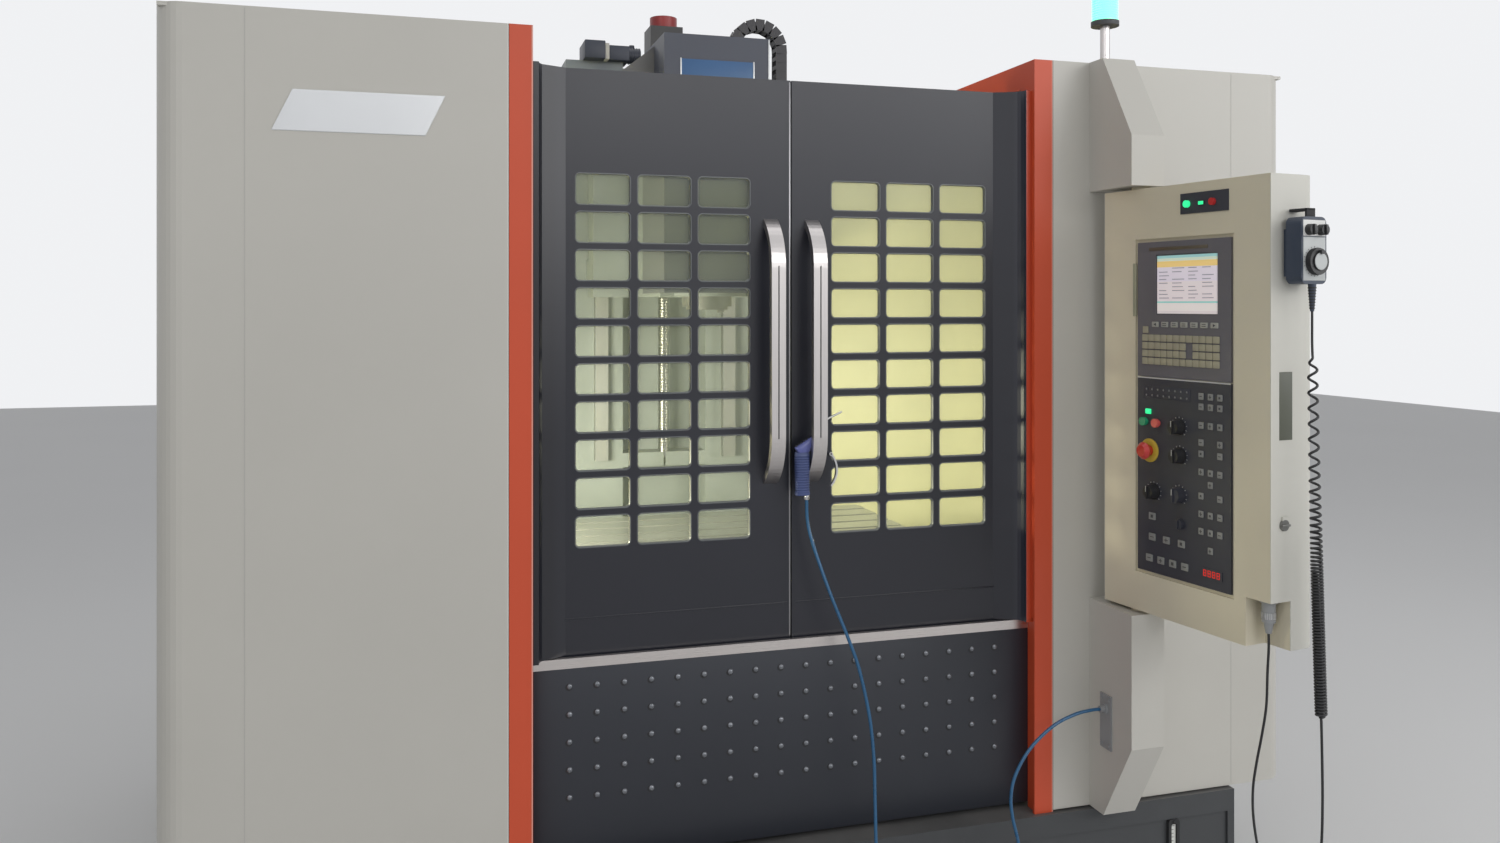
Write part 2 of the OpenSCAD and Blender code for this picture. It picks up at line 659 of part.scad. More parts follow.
// ---- air gun, hung in the right handle ----
gun_x = handle_x - handle_w / 2 - 9.1;
gun_z = handle_z + 86;
gun_y = handle_r - sqrt(pow(handle_r - handle_t - 0.3 - 8.5, 2) - pow(handle_z + handle_c - gun_z, 2));
trig_x = gun_x + 60;
trig_z = gun_z - 16.5;
module air_gun() {
    color("steelblue") place() at(gun_x, gun_y, gun_z) {
        // ribbed grip
        at(0, -2.7, -111) {
            cylinder(d = 14, h = 14);
            at(0, 0, 12) cylinder(d1 = 14, d2 = 17, h = 100);
            for (i = [0:7]) at(0, 0, 18 + i * 11) cylinder(d = 17.6, h = 5, $fn = 32);
        }
        // head behind the bar, with the nozzle and the trigger's lug and pin
        at(0, -2, 0) sphere(d = 20, $fn = 32);
        bar_x(17, 56);
        at(56, 0, 0) {
            sphere(d = 17, $fn = 32);
            rotate([0, 25, 0]) cylinder(d = 13, h = 26, $fn = 32);
            rotate([0, 25, 0]) cylinder(d = 6, h = 92, $fn = 24);
        }
        at(55, 2, -22.5) cube([10, 4, 14]);
        at(60, -6.5, -16.5) bar_y(3.6, 9);
    }
}
module gun_trigger() {
    color("midnightblue") place() difference() {
        union() {
            at(trig_x, gun_y - 6, trig_z) bar_y(9, 7.7);
            at(trig_x - 40, gun_y + 1.7, trig_z - 37.5) rotate([90, 0, 0]) linear_extrude(7.7)
                polygon(concat(arc(0, 0, 52.5, -43, 43, 8), arc(0, 0, 57, 43, -43, 8)));
        }
        at(trig_x, gun_y - 8, trig_z) bar_y(4.2, 12);
    }
}
module air_hose() { color("royalblue") place() tube(route(hose_pts, 3), hose_d, 8); }

// ---- linear axes ----
module carriage(w) {
    // a block that straddles a rail, drawn at the rail's base and centred on it
    difference() {
        at(-w / 2, -carr / 2, 6) cube([w, carr, 44]);
        at(-rail_w / 2 - run_gap, -carr / 2 - 1, -1) cube([rail_w + 2 * run_gap, carr + 2, rail_h + 1 +
            run_gap]);
    }
}
module saddle() {
    color("dimgray") place() {
        difference() {
            union() {
                at(-saddle_w / 2, spindle_y - 270, saddle_z + 50) cube([saddle_w, 540, saddle_h - 50]);
                at(-420, spindle_y - 270, saddle_z) cube([840, 540, 50]);
            }
            at(-saddle_w / 2 - 1, spindle_y - 60, saddle_top - 60) cube([saddle_w + 2, 120, 61]);
            for (x = [-560, -260, 160, 460]) at(x, spindle_y - 230, saddle_z - 1) cube([100, 140, 100]);
        }
        for (s = [-1, 1]) for (t = [-1, 1]) at(s * yrail_x, spindle_y + t * 200, bed_z) carriage(100);
        for (t = [-1, 1]) at(-saddle_w / 2, spindle_y + t * xrail_y - rail_w / 2, saddle_top)
            cube([saddle_w, rail_w, rail_h]);
        // nut of the lower screw
        difference() {
            at(-55, spindle_y - 60, yscrew_z - 40) cube([110, 120, saddle_z - yscrew_z + 40]);
            at(0, spindle_y - 61, yscrew_z) bar_y(screw_d + 0.6, 122);
        }
        // drive of the table's screw at the right end
        difference() {
            for (x = [-x_half - 170, x_drive - 40]) at(x, spindle_y - 60, saddle_top - 60)
                cube([40, 120, 56]);
            at(-x_half - 171, spindle_y, xscrew_z) bar_x(screw_d + 0.6, x_half + x_drive + 171);
        }
        at(x_drive, spindle_y - 62, xscrew_z - 62) cube([14, 124, 124]);
        at(x_drive + 14, spindle_y - 56, xscrew_z - 56) cube([120, 112, 112]);
        at(x_drive + 134, spindle_y, xscrew_z) bar_x(92, 36);
    }
}
xscrew_z = saddle_top - 30;
module table() {
    color("silver") place() difference() {
        union() {
            at(-table_w / 2, spindle_y - table_d / 2, table_z) cube([table_w, table_d, table_h]);
            for (s = [-1, 1]) for (t = [-1, 1]) at(s * 220, spindle_y + t * xrail_y, saddle_top)
                rotate([0, 0, 90]) carriage(90);
            at(-60, spindle_y - 56, saddle_top - 56) cube([120, 112, table_z - saddle_top + 56]);
        }
        for (i = [0:slot_n - 1]) at(-table_w / 2 - 1, spindle_y + (i - (slot_n - 1) / 2) * slot_pitch,
            table_top) {
            at(0, -slot_w / 2, -38) cube([table_w + 2, slot_w, 39]);
            at(0, -slot_w / 2 - 7, -38) cube([table_w + 2, slot_w + 14, 14]);
        }
        at(-61, spindle_y, xscrew_z) bar_x(screw_d + 0.6, 122);
    }
}
module x_screw() { color("silver") place() at(-x_half - 150, spindle_y, xscrew_z)
    bar_x(screw_d, x_half + 150 + x_drive); }
module y_screw() { color("silver") place() at(0, yscrew_front, yscrew_z) bar_y(screw_d, rail_len); }
module z_screw() { color("silver") place() at(0, zscrew_y, zrail_z)
    cylinder(d = screw_d, h = col_top - 26 - zrail_z); }

// ---- head ----
module head() {
    color("gray") place() {
        difference() {
            union() {
                at(-280, head_back - 120, head_bot) cube([560, 120, head_top - head_bot - 60]);
                at(-cover_w / 2 + 6, spindle_y - 40, head_bot)
                    cube([cover_w - 12, head_back - spindle_y - 60, head_top - head_bot - 60]);
                at(0, spindle_y, head_bot) cylinder(r = 118, h = head_top - head_bot - 60, $fn = 64);
                at(-55, head_back - 10, head_bot + 160) cube([110, zscrew_y - head_back + 50, 120]);
            }
            at(0, spindle_y, head_bot - 1) cylinder(d = nose_d + 1, h = 260);
            at(0, zscrew_y, head_bot + 150) cylinder(d = screw_d + 0.6, h = 140);
        }
        for (s = [-1, 1]) for (z = [head_bot + 80, head_top - 160]) at(s * zrail_x, col_y, z)
            rotate([90, 0, 0]) carriage(100);
    }
}
module head_cover() {
    // folded cover over the front and the sides of the head, with a gusset on its left
    color("dimgray") place() {
        difference() {
            at(-cover_w / 2, spindle_y - 130, head_bot + 10) cube([cover_w, 330,
                cover_top - head_bot - 10]);
            at(-cover_w / 2 + 6, spindle_y - 124, head_bot + 9)
                cube([cover_w - 12, 325, cover_top - head_bot - 9 - 6]);
        }
        at(-cover_w / 2, spindle_y + 20, 0) rotate([90, 0, 0]) linear_extrude(6)
            polygon([[0, cover_top - 10], [-150, cover_top - 130], [-150, cover_top - 150],
                [0, cover_top - 150]]);
    }
}
module spindle_motor() {
    color("maroon") place() {
        at(-100, spindle_y + 220, head_top - 60) cube([200, 200, 18]);
        at(0, spindle_y + 320, head_top - 42) cylinder(d = 190, h = 130, $fn = 64);
        at(-92, spindle_y + 228, head_top - 42) cube([184, 184, 100]);
        at(-45, spindle_y + 206, head_top - 20) cube([90, 22, 60]);
    }
}
module cable_chain() {
    // energy chain that arches from the head over to a bracket on the column's side
    color("black") place() at(0, head_back, head_top - 60) rotate([90, 0, 0]) linear_extrude(55)
        polygon(concat([[chain_x - chain_r, 0]], arc(chain_x, chain_h, chain_r, 180, 0, 16),
            [[chain_x + chain_r, chain_end], [chain_x + chain_r - 30, chain_end]],
            arc(chain_x, chain_h, chain_r - 30, 0, 180, 16), [[chain_x - chain_r + 30, 0]]));
}
chain_r = 100;
chain_x = col_w / 2 - 30;
chain_h = 272;
chain_end = -105;
module spindle() {
    color("silver") place() difference() {
        union() {
            at(0, spindle_y, nose_z) cylinder(d = nose_d - 24, h = 40);
            at(0, spindle_y, nose_z + 10) cylinder(d = nose_d, h = 270);
            for (a = [0, 180]) at(0, spindle_y, nose_z - 8) rotate(a) translate([34, -8, 0])
                cube([18, 16, 12]);
        }
        at(0, spindle_y, nose_z) cylinder(d1 = taper_d, d2 = taper_d - 68 * 7 / 24, h = 68);
        at(0, spindle_y, nose_z - 9) cylinder(d = taper_d, h = 9.01);
        at(0, spindle_y, nose_z + 60) cylinder(d = 17, h = 60);
    }
}

// ---- pendant ----
module pendant_place() {
    place() translate([piv_wx, piv_wy, 0]) rotate(-pen_swing) translate([-piv_x, -piv_y, 0]) children();
}
module pendant_profile() {
    polygon(concat([[0, 0], [pen_w, 0]], arc(pen_w - pen_r, pen_d - pen_r, pen_r, 0, 90, 6),
        arc(pen_r, pen_d - pen_r, pen_r, 90, 180, 6)));
}
module pendant_box() {
    color("tan") pendant_place() {
        difference() {
            at(0, 0, pen_z) linear_extrude(pen_h) pendant_profile();
            at(pen_w - 64, -1, pen_z - 1) cube([65, 58, notch_h + 1]);
            at(col0 - 8, -1, panel_z - 8) cube([panel_w + 16, 7, panel_h + 16]);
            at(pen_w - 1.5, 24, 1264) cube([3, 38, 142]);
            for (p = key_at) at(p[0], 5, p[1]) bar_y(14.6, 6);
            at(estop_x, 5, estop_z) bar_y(24.6, 6);
            for (x = power_x) at(x, -1, power_z) bar_y(16.6, 5);
        }
        at(piv_x, piv_y, low_top - 84) cylinder(d = piv_d, h = pen_z - low_top + 84);
        at(piv_x, piv_y, pen_top) cylinder(d = piv_d, h = hood_z - pen_top + 84);
        at(pen_w - 8, 30, 1080) cube([12, 16, 26]);
    }
}
panel_w = 275;
notch_h = 104;
col0 = 112;
panel_z = 923;
divide_z = 1375;
panel_h = 768;
module screen_unit() {
    color("dimgray") pendant_place() {
        difference() {
            at(col0, 0, divide_z + 3) cube([panel_w, 6, panel_z + panel_h - divide_z - 3]);
            at(col0 + 58, -1, lcd_z - 3) cube([lcd_w + 6, 5, lcd_h + 6]);
        }
        // soft keys and the key field
        for (i = [0:6]) at(col0 + 48 + i * 29, -2.5, 1494) plate_y(20, 12, 2.5, 2, 2);
        for (j = [0:3]) for (i = [0:11]) if (i != 7 || j % 3 == 0)
            at(col0 + 17 + i * 19.2, -2, 1407 + j * 18) cube([17.5, 2, 15]);
    }
}
module screen() { color("aquamarine") pendant_place() at(col0 + 61, 1, lcd_z) cube([lcd_w, 3, lcd_h]); }
lcd_z = 1525;
module operator_panel() {
    color("dimgray") pendant_place() {
        difference() {
            at(col0, 0, panel_z) cube([panel_w, 6, divide_z - panel_z]);
            for (p = knob_at) at(p[0], -1, p[1]) bar_y(12.6, 8);
            for (p = key_at) at(p[0], -1, p[1]) bar_y(14.6, 8);
            at(estop_x, -1, estop_z) bar_y(24.6, 8);
        }
        for (z = [1335, 1349]) for (i = [0:7]) at(col0 + 30 + i * 17.6, -1, z) rotate([90, 0, 0])
            cylinder(d = 6, h = 1, $fn = 12);
        for (r = key_rows) for (i = r[1]) at(299.5 + i * 26.2, -2, r[0] - 7) cube([13.5, 2, 14]);
        for (k = wide_keys) at(k[0] - 10, -2, k[1] - 8) cube([20, 2, 16]);
        at(307, -2, 946) cube([58, 2, 20]);
        difference() {
            at(estop_x, 0, estop_z) rotate([90, 0, 0]) cylinder(d = 52, h = 2);
            at(estop_x, 1, estop_z) rotate([90, 0, 0]) cylinder(d = 24.6, h = 4);
        }
        // black power plate above the screen
        difference() {
            at(246, -2, 1749) cube([136, 2, 46]);
            for (x = power_x) at(x, 1, power_z) rotate([90, 0, 0]) cylinder(d = 16.6, h = 4);
        }
        at(300, -5, 1766) cube([16, 3, 9]);
        // key switch and the fourth selector
        at(245, 0, 1050) rotate([90, 0, 0]) cylinder(d = 24, h = 10);
        at(242, -14, 1041) cube([6, 4, 18]);
        at(knob4[0], 0, knob4[1]) rotate([90, 0, 0]) { cylinder(d = knob_d + 4, h = 3);
            cylinder(d = knob_d, h = 20); }
        at(knob4[0] - 3, -24, knob4[1] - 15) cube([6, 4, 30]);
    }
}
key_rows = [[1343, [0, 1, 2]], [1320, [0, 1, 2]], [1279, [0, 1, 2]], [1241, [0, 2]], [1216, [0, 2]],
    [1176, [0, 1, 2]],
    [1150, [1]], [1123, [0, 2]], [1083, [0, 1, 2]], [1045, [0, 1, 2]], [1006, [1]]];
wide_keys = [[160, 1054], [160, 1006], [204, 1006], [249, 1006], [151, 956], [187, 956], [223, 956],
    [259, 956]];
knob_at = [[241, 1269], [243, 1204], [164, 1112]];
knob4 = [241, 1115];
key_at = [[139, 1273], [177, 1272]];
estop_x = 151;
estop_z = 1206;
power_x = [267, 340];
power_z = 1771;
module knob(p) {
    color("black") pendant_place() at(p[0], 0, p[1]) {
        rotate([90, 0, 0]) {
            at(0, 0, 0.5) cylinder(d = knob_d + 4, h = 3);
            at(0, 0, 3.5) cylinder(d1 = knob_d, d2 = knob_d - 5, h = 18, $fn = 32);
            at(0, 0, -5.5) cylinder(d = 12, h = 6);
        }
        at(-2.5, -26, -knob_d / 2 + 2) cube([5, 5, knob_d - 6]);
    }
}
module mode_knob() { knob(knob_at[0]); }
module feed_knob() { knob(knob_at[1]); }
module spindle_knob() { knob(knob_at[2]); }
module push(p, y, d, c) {
    color(c) pendant_place() at(p[0], y, p[1]) rotate([90, 0, 0]) {
        at(0, 0, 5) cylinder(d = d + 6, h = 8);
        at(0, 0, -4) cylinder(d = d, h = 9.5);
    }
}
module start_button() { push(key_at[0], 0, 14, "green"); }
module hold_button() { push(key_at[1], 0, 14, "red"); }
module power_on_button() { color("lime") pendant_place() at(power_x[0], -0.3, power_z) rotate([90, 0, 0])
    cylinder(d = 16, h = 8); }
module power_off_button() { color("red") pendant_place() at(power_x[1], -0.3, power_z) rotate([90, 0, 0])
    cylinder(d = 16, h = 8); }
module estop_button() {
    color("red") pendant_place() at(estop_x, 0, estop_z) rotate([90, 0, 0]) {
        at(0, 0, -4) cylinder(d = 24, h = 20);
        at(0, 0, 14) cylinder(d1 = estop_d - 4, d2 = estop_d, h = 6);
        at(0, 0, 20) cylinder(d1 = estop_d, d2 = estop_d - 14, h = 9);
    }
}

// ---- hand-wheel and its lead ----
module handwheel_box() {
    color("darkslateblue") pendant_place() {
        difference() {
            at(mpg_x, mpg_y, mpg_z) rotate([90, 0, 90]) linear_extrude(mpg_d)
                polygon(rounded(mpg_w, mpg_h, 14, 5));
            at(mpg_x + mpg_d - 22, mpg_y + mpg_w / 2, mpg_z + 46) bar_x(12.6, 30);
        }
        // magnet plate, hook and the two selectors on the upper face
        at(pen_w + 0.3, mpg_y + 8, mpg_z + 16) cube([mpg_x - pen_w - 0.3, mpg_w - 16, mpg_h - 40]);
        at(mpg_x + mpg_d - 12, mpg_y + mpg_w / 2 - 12, mpg_z + mpg_h) cube([5, 24, 18]);
        at(pen_w + 0.3, mpg_y + mpg_w / 2 - 12, mpg_z + mpg_h + 13)
            cube([mpg_x + mpg_d - pen_w - 7.3, 24, 5]);
        for (s = [-1, 1]) at(mpg_x + mpg_d, mpg_y + mpg_w / 2 + s * 17, mpg_z + mpg_h - 27) bar_x(22, 14);
        for (s = [-1, 1]) at(mpg_x + mpg_d + 14, mpg_y + mpg_w / 2 + s * 17 - 2, mpg_z + mpg_h - 37)
            cube([4, 4, 20]);
        // strain relief under the box
        at(lead_x, 69, 1532) cylinder(d1 = 8, d2 = 16, h = mpg_z - 1532);
    }
}
module handwheel() {
    color("black") pendant_place() at(mpg_x + mpg_d, mpg_y + mpg_w / 2, mpg_z + 46) {
        at(-14, 0, 0) bar_x(12, 16);
        at(1.5, 0, 0) bar_x(wheel_d, 12);
        at(13.5, 0, 0) bar_x(wheel_d - 18, 3);
        at(13.5, 0, wheel_d / 2 - 8) bar_x(9, 8.5);
    }
}
module handwheel_cord() {
    color("black") pendant_place() {
        tube(route(lead_a, 2), lead_d, 8);
        tube(route(lead_b, 3), lead_d, 8);
    }
}
module handwheel_coil() { color("black") pendant_place() tube(route(coil_pts, 3), coil_d, 12); }
module lead_plug() {
    // panel plug under the notch: flange, body and a tapered relief
    color("gray") pendant_place() at(455, 34, 855) {
        cylinder(d1 = 12, d2 = 22, h = 24);
        at(0, 0, 24) cylinder(d = 28, h = pen_z + notch_h - 879);
        at(0, 0, pen_z + notch_h - 863) cylinder(d = 36, h = 8);
    }
}

bed();
levelling_feet();
column();
guide_rails();
servo_motors();
left_fascia();
right_fascia();
left_trim();
right_trim();
apron();
door_sill();
top_rail();
side_walls();
splash_guard();
electric_cabinet();
coolant_tank();
level_gauge();
upper_bracket();
lower_bracket();
air_socket();
signal_lamp();
magazine_drum();
air_hose();
left_door();
left_window();
left_handle();
right_door();
right_window();
right_handle();
air_gun();
gun_trigger();
saddle();
table();
x_screw();
y_screw();
z_screw();
head();
head_cover();
spindle_motor();
cable_chain();
spindle();
tool_disc();
cabinet_door();
pendant_box();
screen_unit();
screen();
operator_panel();
estop_button();
start_button();
hold_button();
mode_knob();
feed_knob();
spindle_knob();
power_on_button();
power_off_button();
handwheel_box();
handwheel();
handwheel_cord();
handwheel_coil();
lead_plug();
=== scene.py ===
import math

import bmesh
import bpy
from mathutils import Matrix, Vector


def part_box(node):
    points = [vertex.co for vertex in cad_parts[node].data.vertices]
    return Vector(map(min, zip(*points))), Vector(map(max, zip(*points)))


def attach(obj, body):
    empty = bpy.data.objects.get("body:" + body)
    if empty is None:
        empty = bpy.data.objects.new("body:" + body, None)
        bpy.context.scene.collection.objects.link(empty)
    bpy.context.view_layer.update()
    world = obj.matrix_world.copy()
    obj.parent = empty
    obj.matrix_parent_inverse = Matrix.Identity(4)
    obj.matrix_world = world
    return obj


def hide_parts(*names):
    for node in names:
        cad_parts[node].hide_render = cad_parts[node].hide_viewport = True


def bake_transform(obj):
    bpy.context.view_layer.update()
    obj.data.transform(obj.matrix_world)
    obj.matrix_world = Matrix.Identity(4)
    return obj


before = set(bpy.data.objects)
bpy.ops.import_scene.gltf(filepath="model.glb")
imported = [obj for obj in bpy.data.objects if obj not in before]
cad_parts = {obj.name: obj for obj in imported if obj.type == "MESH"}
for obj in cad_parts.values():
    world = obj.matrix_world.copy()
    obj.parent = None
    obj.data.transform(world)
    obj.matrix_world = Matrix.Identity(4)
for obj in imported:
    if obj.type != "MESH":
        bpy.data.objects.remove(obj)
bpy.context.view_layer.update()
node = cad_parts


# ---- The hall ----
# The machine stands on a pale floor in soft light. The camera stands a little to the left of the
# doors at eye height and looks to the right, level, with the picture's frame moved down.
FRONT = -0.772439            # the flat front of the machine, in the frame's own Y


def linked(name, data):
    made = bpy.data.objects.new(name, data)
    bpy.context.collection.objects.link(made)
    return made


def fill(tree, target, inputs):
    """Sets the node's inputs, each from a value, an output socket or a node's first output."""
    for key, value in inputs.items():
        if isinstance(value, bpy.types.Node):
            value = value.outputs[0]
        if isinstance(value, bpy.types.NodeSocket):
            tree.links.new(value, target.inputs[key])
        else:
            target.inputs[key].default_value = value
    return target


def add_node(tree, kind, inputs=None, **settings):
    made = tree.nodes.new(kind)
    for key, value in settings.items():
        setattr(made, key, value)
    return fill(tree, made, inputs or {})


def math_node(tree, operation, *values):
    return add_node(tree, "ShaderNodeMath", dict(enumerate(values)), operation=operation)


def remap(tree, value, source=(0, 1), to=(0, 1)):
    """The value, mapped from its own range to another one and held in it."""
    return add_node(tree, "ShaderNodeMapRange", dict(zip(
        ("Value", "From Min", "From Max", "To Min", "To Max"), (value, *source, *to))))


def noise(tree, scale, detail=2, **where):
    return add_node(tree, "ShaderNodeTexNoise", {"Scale": scale, "Detail": detail, **where}).outputs["Fac"]


camera = linked("camera", bpy.data.cameras.new("camera"))
camera.data.lens, camera.data.sensor_width = 27.29, 36
camera.data.shift_y = -0.0783
camera.location = (-0.845, FRONT - 2.482, 1.547)
camera.rotation_euler = (math.radians(90), 0, math.radians(-16.28))
bpy.context.scene.camera = camera
bpy.context.scene.view_settings.view_transform = "Standard"

# What is seen of the hall, straight, mirrored or through the panes, is paler than the light it gives
world = bpy.data.worlds.new("hall")
bpy.context.scene.world = world
world.use_nodes = True
hall = world.node_tree
hall.nodes.clear()
ray = add_node(hall, "ShaderNodeLightPath").outputs
seen = math_node(hall, "MAXIMUM", ray["Is Camera Ray"], ray["Is Glossy Ray"])
seen = math_node(hall, "MAXIMUM", seen, ray["Is Transmission Ray"])
sky = add_node(hall, "ShaderNodeBackground", {
    "Color": (0.97, 0.98, 1.0, 1), "Strength": remap(hall, seen, to=(0.32, 0.90))})
add_node(hall, "ShaderNodeOutputWorld", {"Surface": sky})


def lamp(name, place, aim, size, power, colour=(1, 1, 1)):
    light = bpy.data.lights.new(name, "AREA")
    light.shape, light.size, light.size_y = "RECTANGLE", size[0], size[1]
    light.energy, light.color = power, colour
    o = linked(name, light)
    o.location = place
    o.rotation_euler = (Vector(aim) - Vector(place)).to_track_quat("-Z", "Y").to_euler()


lamp("hall_left", (-3.4, -4.8, 4.4), (0.1, -0.7, 1.1), (3.0, 2.5), 36)
lamp("hall_right", (4.4, -4.2, 3.2), (0.3, -0.7, 1.2), (3.0, 3.0), 84)
lamp("hall_front", (1.8, -7.0, 3.7), (0.3, -0.7, 1.6), (5.0, 1.3), 80)
lamp("hall_top", (0.0, 0.6, 5.6), (0.0, 0.3, 0.0), (5.0, 4.0), 52)
# the work lamps inside the enclosure
lamp("work_lamp_left", (-0.9, -0.35, 1.15), (-0.3, 0.4, 0.5), (0.5, 0.2), 44, (1.0, 0.96, 0.70))
lamp("work_lamp_right", (1.12, -0.35, 1.20), (0.5, 0.4, 0.8), (0.3, 0.2), 6.5, (1.0, 0.98, 0.76))


def plain_material(name):
    m = bpy.data.materials.new(name)
    m.use_nodes = True
    return m, m.node_tree, m.node_tree.nodes["Principled BSDF"]


floor_mesh = bpy.data.meshes.new("floor")
floor_mesh.from_pydata([(-14, -12, 0), (14, -12, 0), (14, 16, 0), (-14, 16, 0)], [], [(0, 1, 2, 3)])
floor = linked("floor", floor_mesh)
floor_paint, tree, shader = plain_material("floor_paint")
fill(tree, shader, {"Base Color": remap(tree, noise(tree, 9), to=(0.74, 0.79)), "Roughness": 0.6})
floor_mesh.materials.append(floor_paint)


# ---- Air hose ----
# A blue polyurethane hose of 8 mm runs from the socket on the lower bracket down to the floor in a
# loose bend and up to the air gun that hangs in the right door's handle.
def new_tree(name, kind, inputs, outputs):
    """A node group with its sockets, each (label, type, default), and its inputs inside."""
    g = bpy.data.node_groups.new(name, kind)
    for in_out, sockets in (("INPUT", inputs), ("OUTPUT", outputs)):
        for label, of_type, *default in sockets:
            socket = g.interface.new_socket(label, in_out=in_out, socket_type="NodeSocket" + of_type)
            if default:
                socket.default_value = default[0]
    return g, add_node(g, "NodeGroupInput").outputs


def on_object(tree):
    """The Object coordinates."""
    return add_node(tree, "ShaderNodeTexCoord").outputs["Object"]


def mix_colour(tree, factor, a, b):
    """The colour a where the factor is 0, and b where it is 1."""
    a, b = ((*c, 1) if isinstance(c, tuple) else c for c in (a, b))
    mix = add_node(tree, "ShaderNodeMix", {"Factor": factor, "A": a, "B": b}, data_type="RGBA")
    return mix.outputs["Result"]


COAT_OUT = (("Color", "Color"), ("Roughness", "Float"), ("Height", "Float"))


def surface_group():
    """Fine variation that paint, castings and mouldings share: cloudy colour, dust, a small peel."""
    g, given = new_tree("surface_variation", "ShaderNodeTree", (
        ("Color", "Color"), ("Cloud Scale", "Float", 3.0), ("Cloud", "Float", 0.06),
        ("Peel Scale", "Float", 300.0), ("Roughness", "Float", 0.45),
        ("Roughness Spread", "Float", 0.12), ("Dust", "Float", 0.08)), COAT_OUT)
    where = on_object(g)
    cloud = noise(g, given["Cloud Scale"], 5, Vector=where)
    shade = remap(g, cloud, (0.3, 0.7), (math_node(g, "SUBTRACT", 1.0, given["Cloud"]),
                                         math_node(g, "ADD", 1.0, given["Cloud"])))
    tone = add_node(g, "ShaderNodeVectorMath", {0: given["Color"], "Scale": shade}, operation="SCALE")
    # dust settles on faces that look up
    normal = add_node(g, "ShaderNodeNewGeometry").outputs["Normal"]
    facing = add_node(g, "ShaderNodeSeparateXYZ", {0: normal}).outputs["Z"]
    up = remap(g, facing, (0.5, 1.0))
    dust = math_node(g, "MULTIPLY", math_node(g, "MULTIPLY", up, cloud), given["Dust"])
    add_node(g, "NodeGroupOutput", {
        "Color": mix_colour(g, dust, tone, (0.42, 0.40, 0.37)),
        "Roughness": math_node(g, "MULTIPLY_ADD", cloud, given["Roughness Spread"], given["Roughness"]),
        "Height": noise(g, given["Peel Scale"], Vector=where)})
    return g


surface_variation = surface_group()


def finish_of(name, group, colour, depth, distance, values, fixed):
    """A material that takes its colour, roughness and bump from the node group."""
    m, tree, shader = plain_material(name)
    g = add_node(tree, "ShaderNodeGroup", {}, node_tree=group)
    fill(tree, g, {"Color": (*colour, 1), **values})
    bump = add_node(tree, "ShaderNodeBump",
                    {"Strength": depth, "Distance": distance, "Height": g.outputs["Height"]})
    fill(tree, shader, {"Base Color": g.outputs["Color"], "Roughness": g.outputs["Roughness"],
                        "Normal": bump, **fixed})
    return m


def coated(name, colour, rough=0.4, cloud=0.05, scale=3.0, peel=320.0, depth=0.05, dust=0.05,
           metallic=0.0, coat=0.0):
    return finish_of(name, surface_variation, colour, depth, 0.0006,
                     {"Cloud Scale": scale, "Cloud": cloud, "Peel Scale": peel,
                      "Roughness": rough, "Dust": dust},
                     {"Metallic": metallic, "Coat Weight": coat})


def smooth_route(points, steps):
    """A Catmull-Rom curve through the points, as the solids' own route."""
    p = [Vector(q) for q in points]
    out = []
    for i in range(len(p) - 1):
        a, b, c, d = p[max(i - 1, 0)], p[i], p[i + 1], p[min(i + 2, len(p) - 1)]
        for j in range(steps):
            t = j / steps
            out.append(0.5 * (2 * b + (c - a) * t + (2 * a - 5 * b + 4 * c - d) * t ** 2
                              + (3 * b - a - 3 * c + d) * t ** 3))
    return out + [p[-1]]


def turn(count):
    """The angles of a full turn in equal steps."""
    return [2 * math.pi * k / count for k in range(count)]


def skin(bm, rings, closed=False, top=True):
    """Quads from ring to ring. A closed skin joins the last to the first, others get end caps,
    and the last ring stays open where top is false."""
    quads = [bm.faces.new((a[k], a[(k + 1) % len(a)], b[(k + 1) % len(b)], b[k]))
             for a, b in zip(rings, rings[1:] + (rings[:1] if closed else []))
             for k in range(len(a))]
    if not closed:
        bm.faces.new(rings[0][::-1])
        if top:
            bm.faces.new(rings[-1])
    return quads


def object_of(bm, name, material):
    mesh = bpy.data.meshes.new(name)
    bm.to_mesh(mesh)
    bm.free()
    mesh.materials.append(material)
    return linked(name, mesh)


def tube_piece(name, path, diameter, sides, material):
    """A round tube with closed ends, swept along the path without twist."""
    bm = bmesh.new()
    rings, up = [], Vector((0.31, 0.95, 0.07))
    for i, q in enumerate(path):
        w = (path[min(i + 1, len(path) - 1)] - path[max(i - 1, 0)]).normalized()
        u = (up - w * up.dot(w)).normalized()
        up = u
        v = w.cross(u)
        rings.append([bm.verts.new(q + diameter / 2 * (u * math.cos(a) + v * math.sin(a)))
                      for a in turn(sides)])
    for quad in skin(bm, rings):
        quad.smooth = True
    bmesh.ops.recalc_face_normals(bm, faces=bm.faces)
    return object_of(bm, name, material)


def length_of(path):
    return sum((b - a).length for a, b in zip(path, path[1:]))


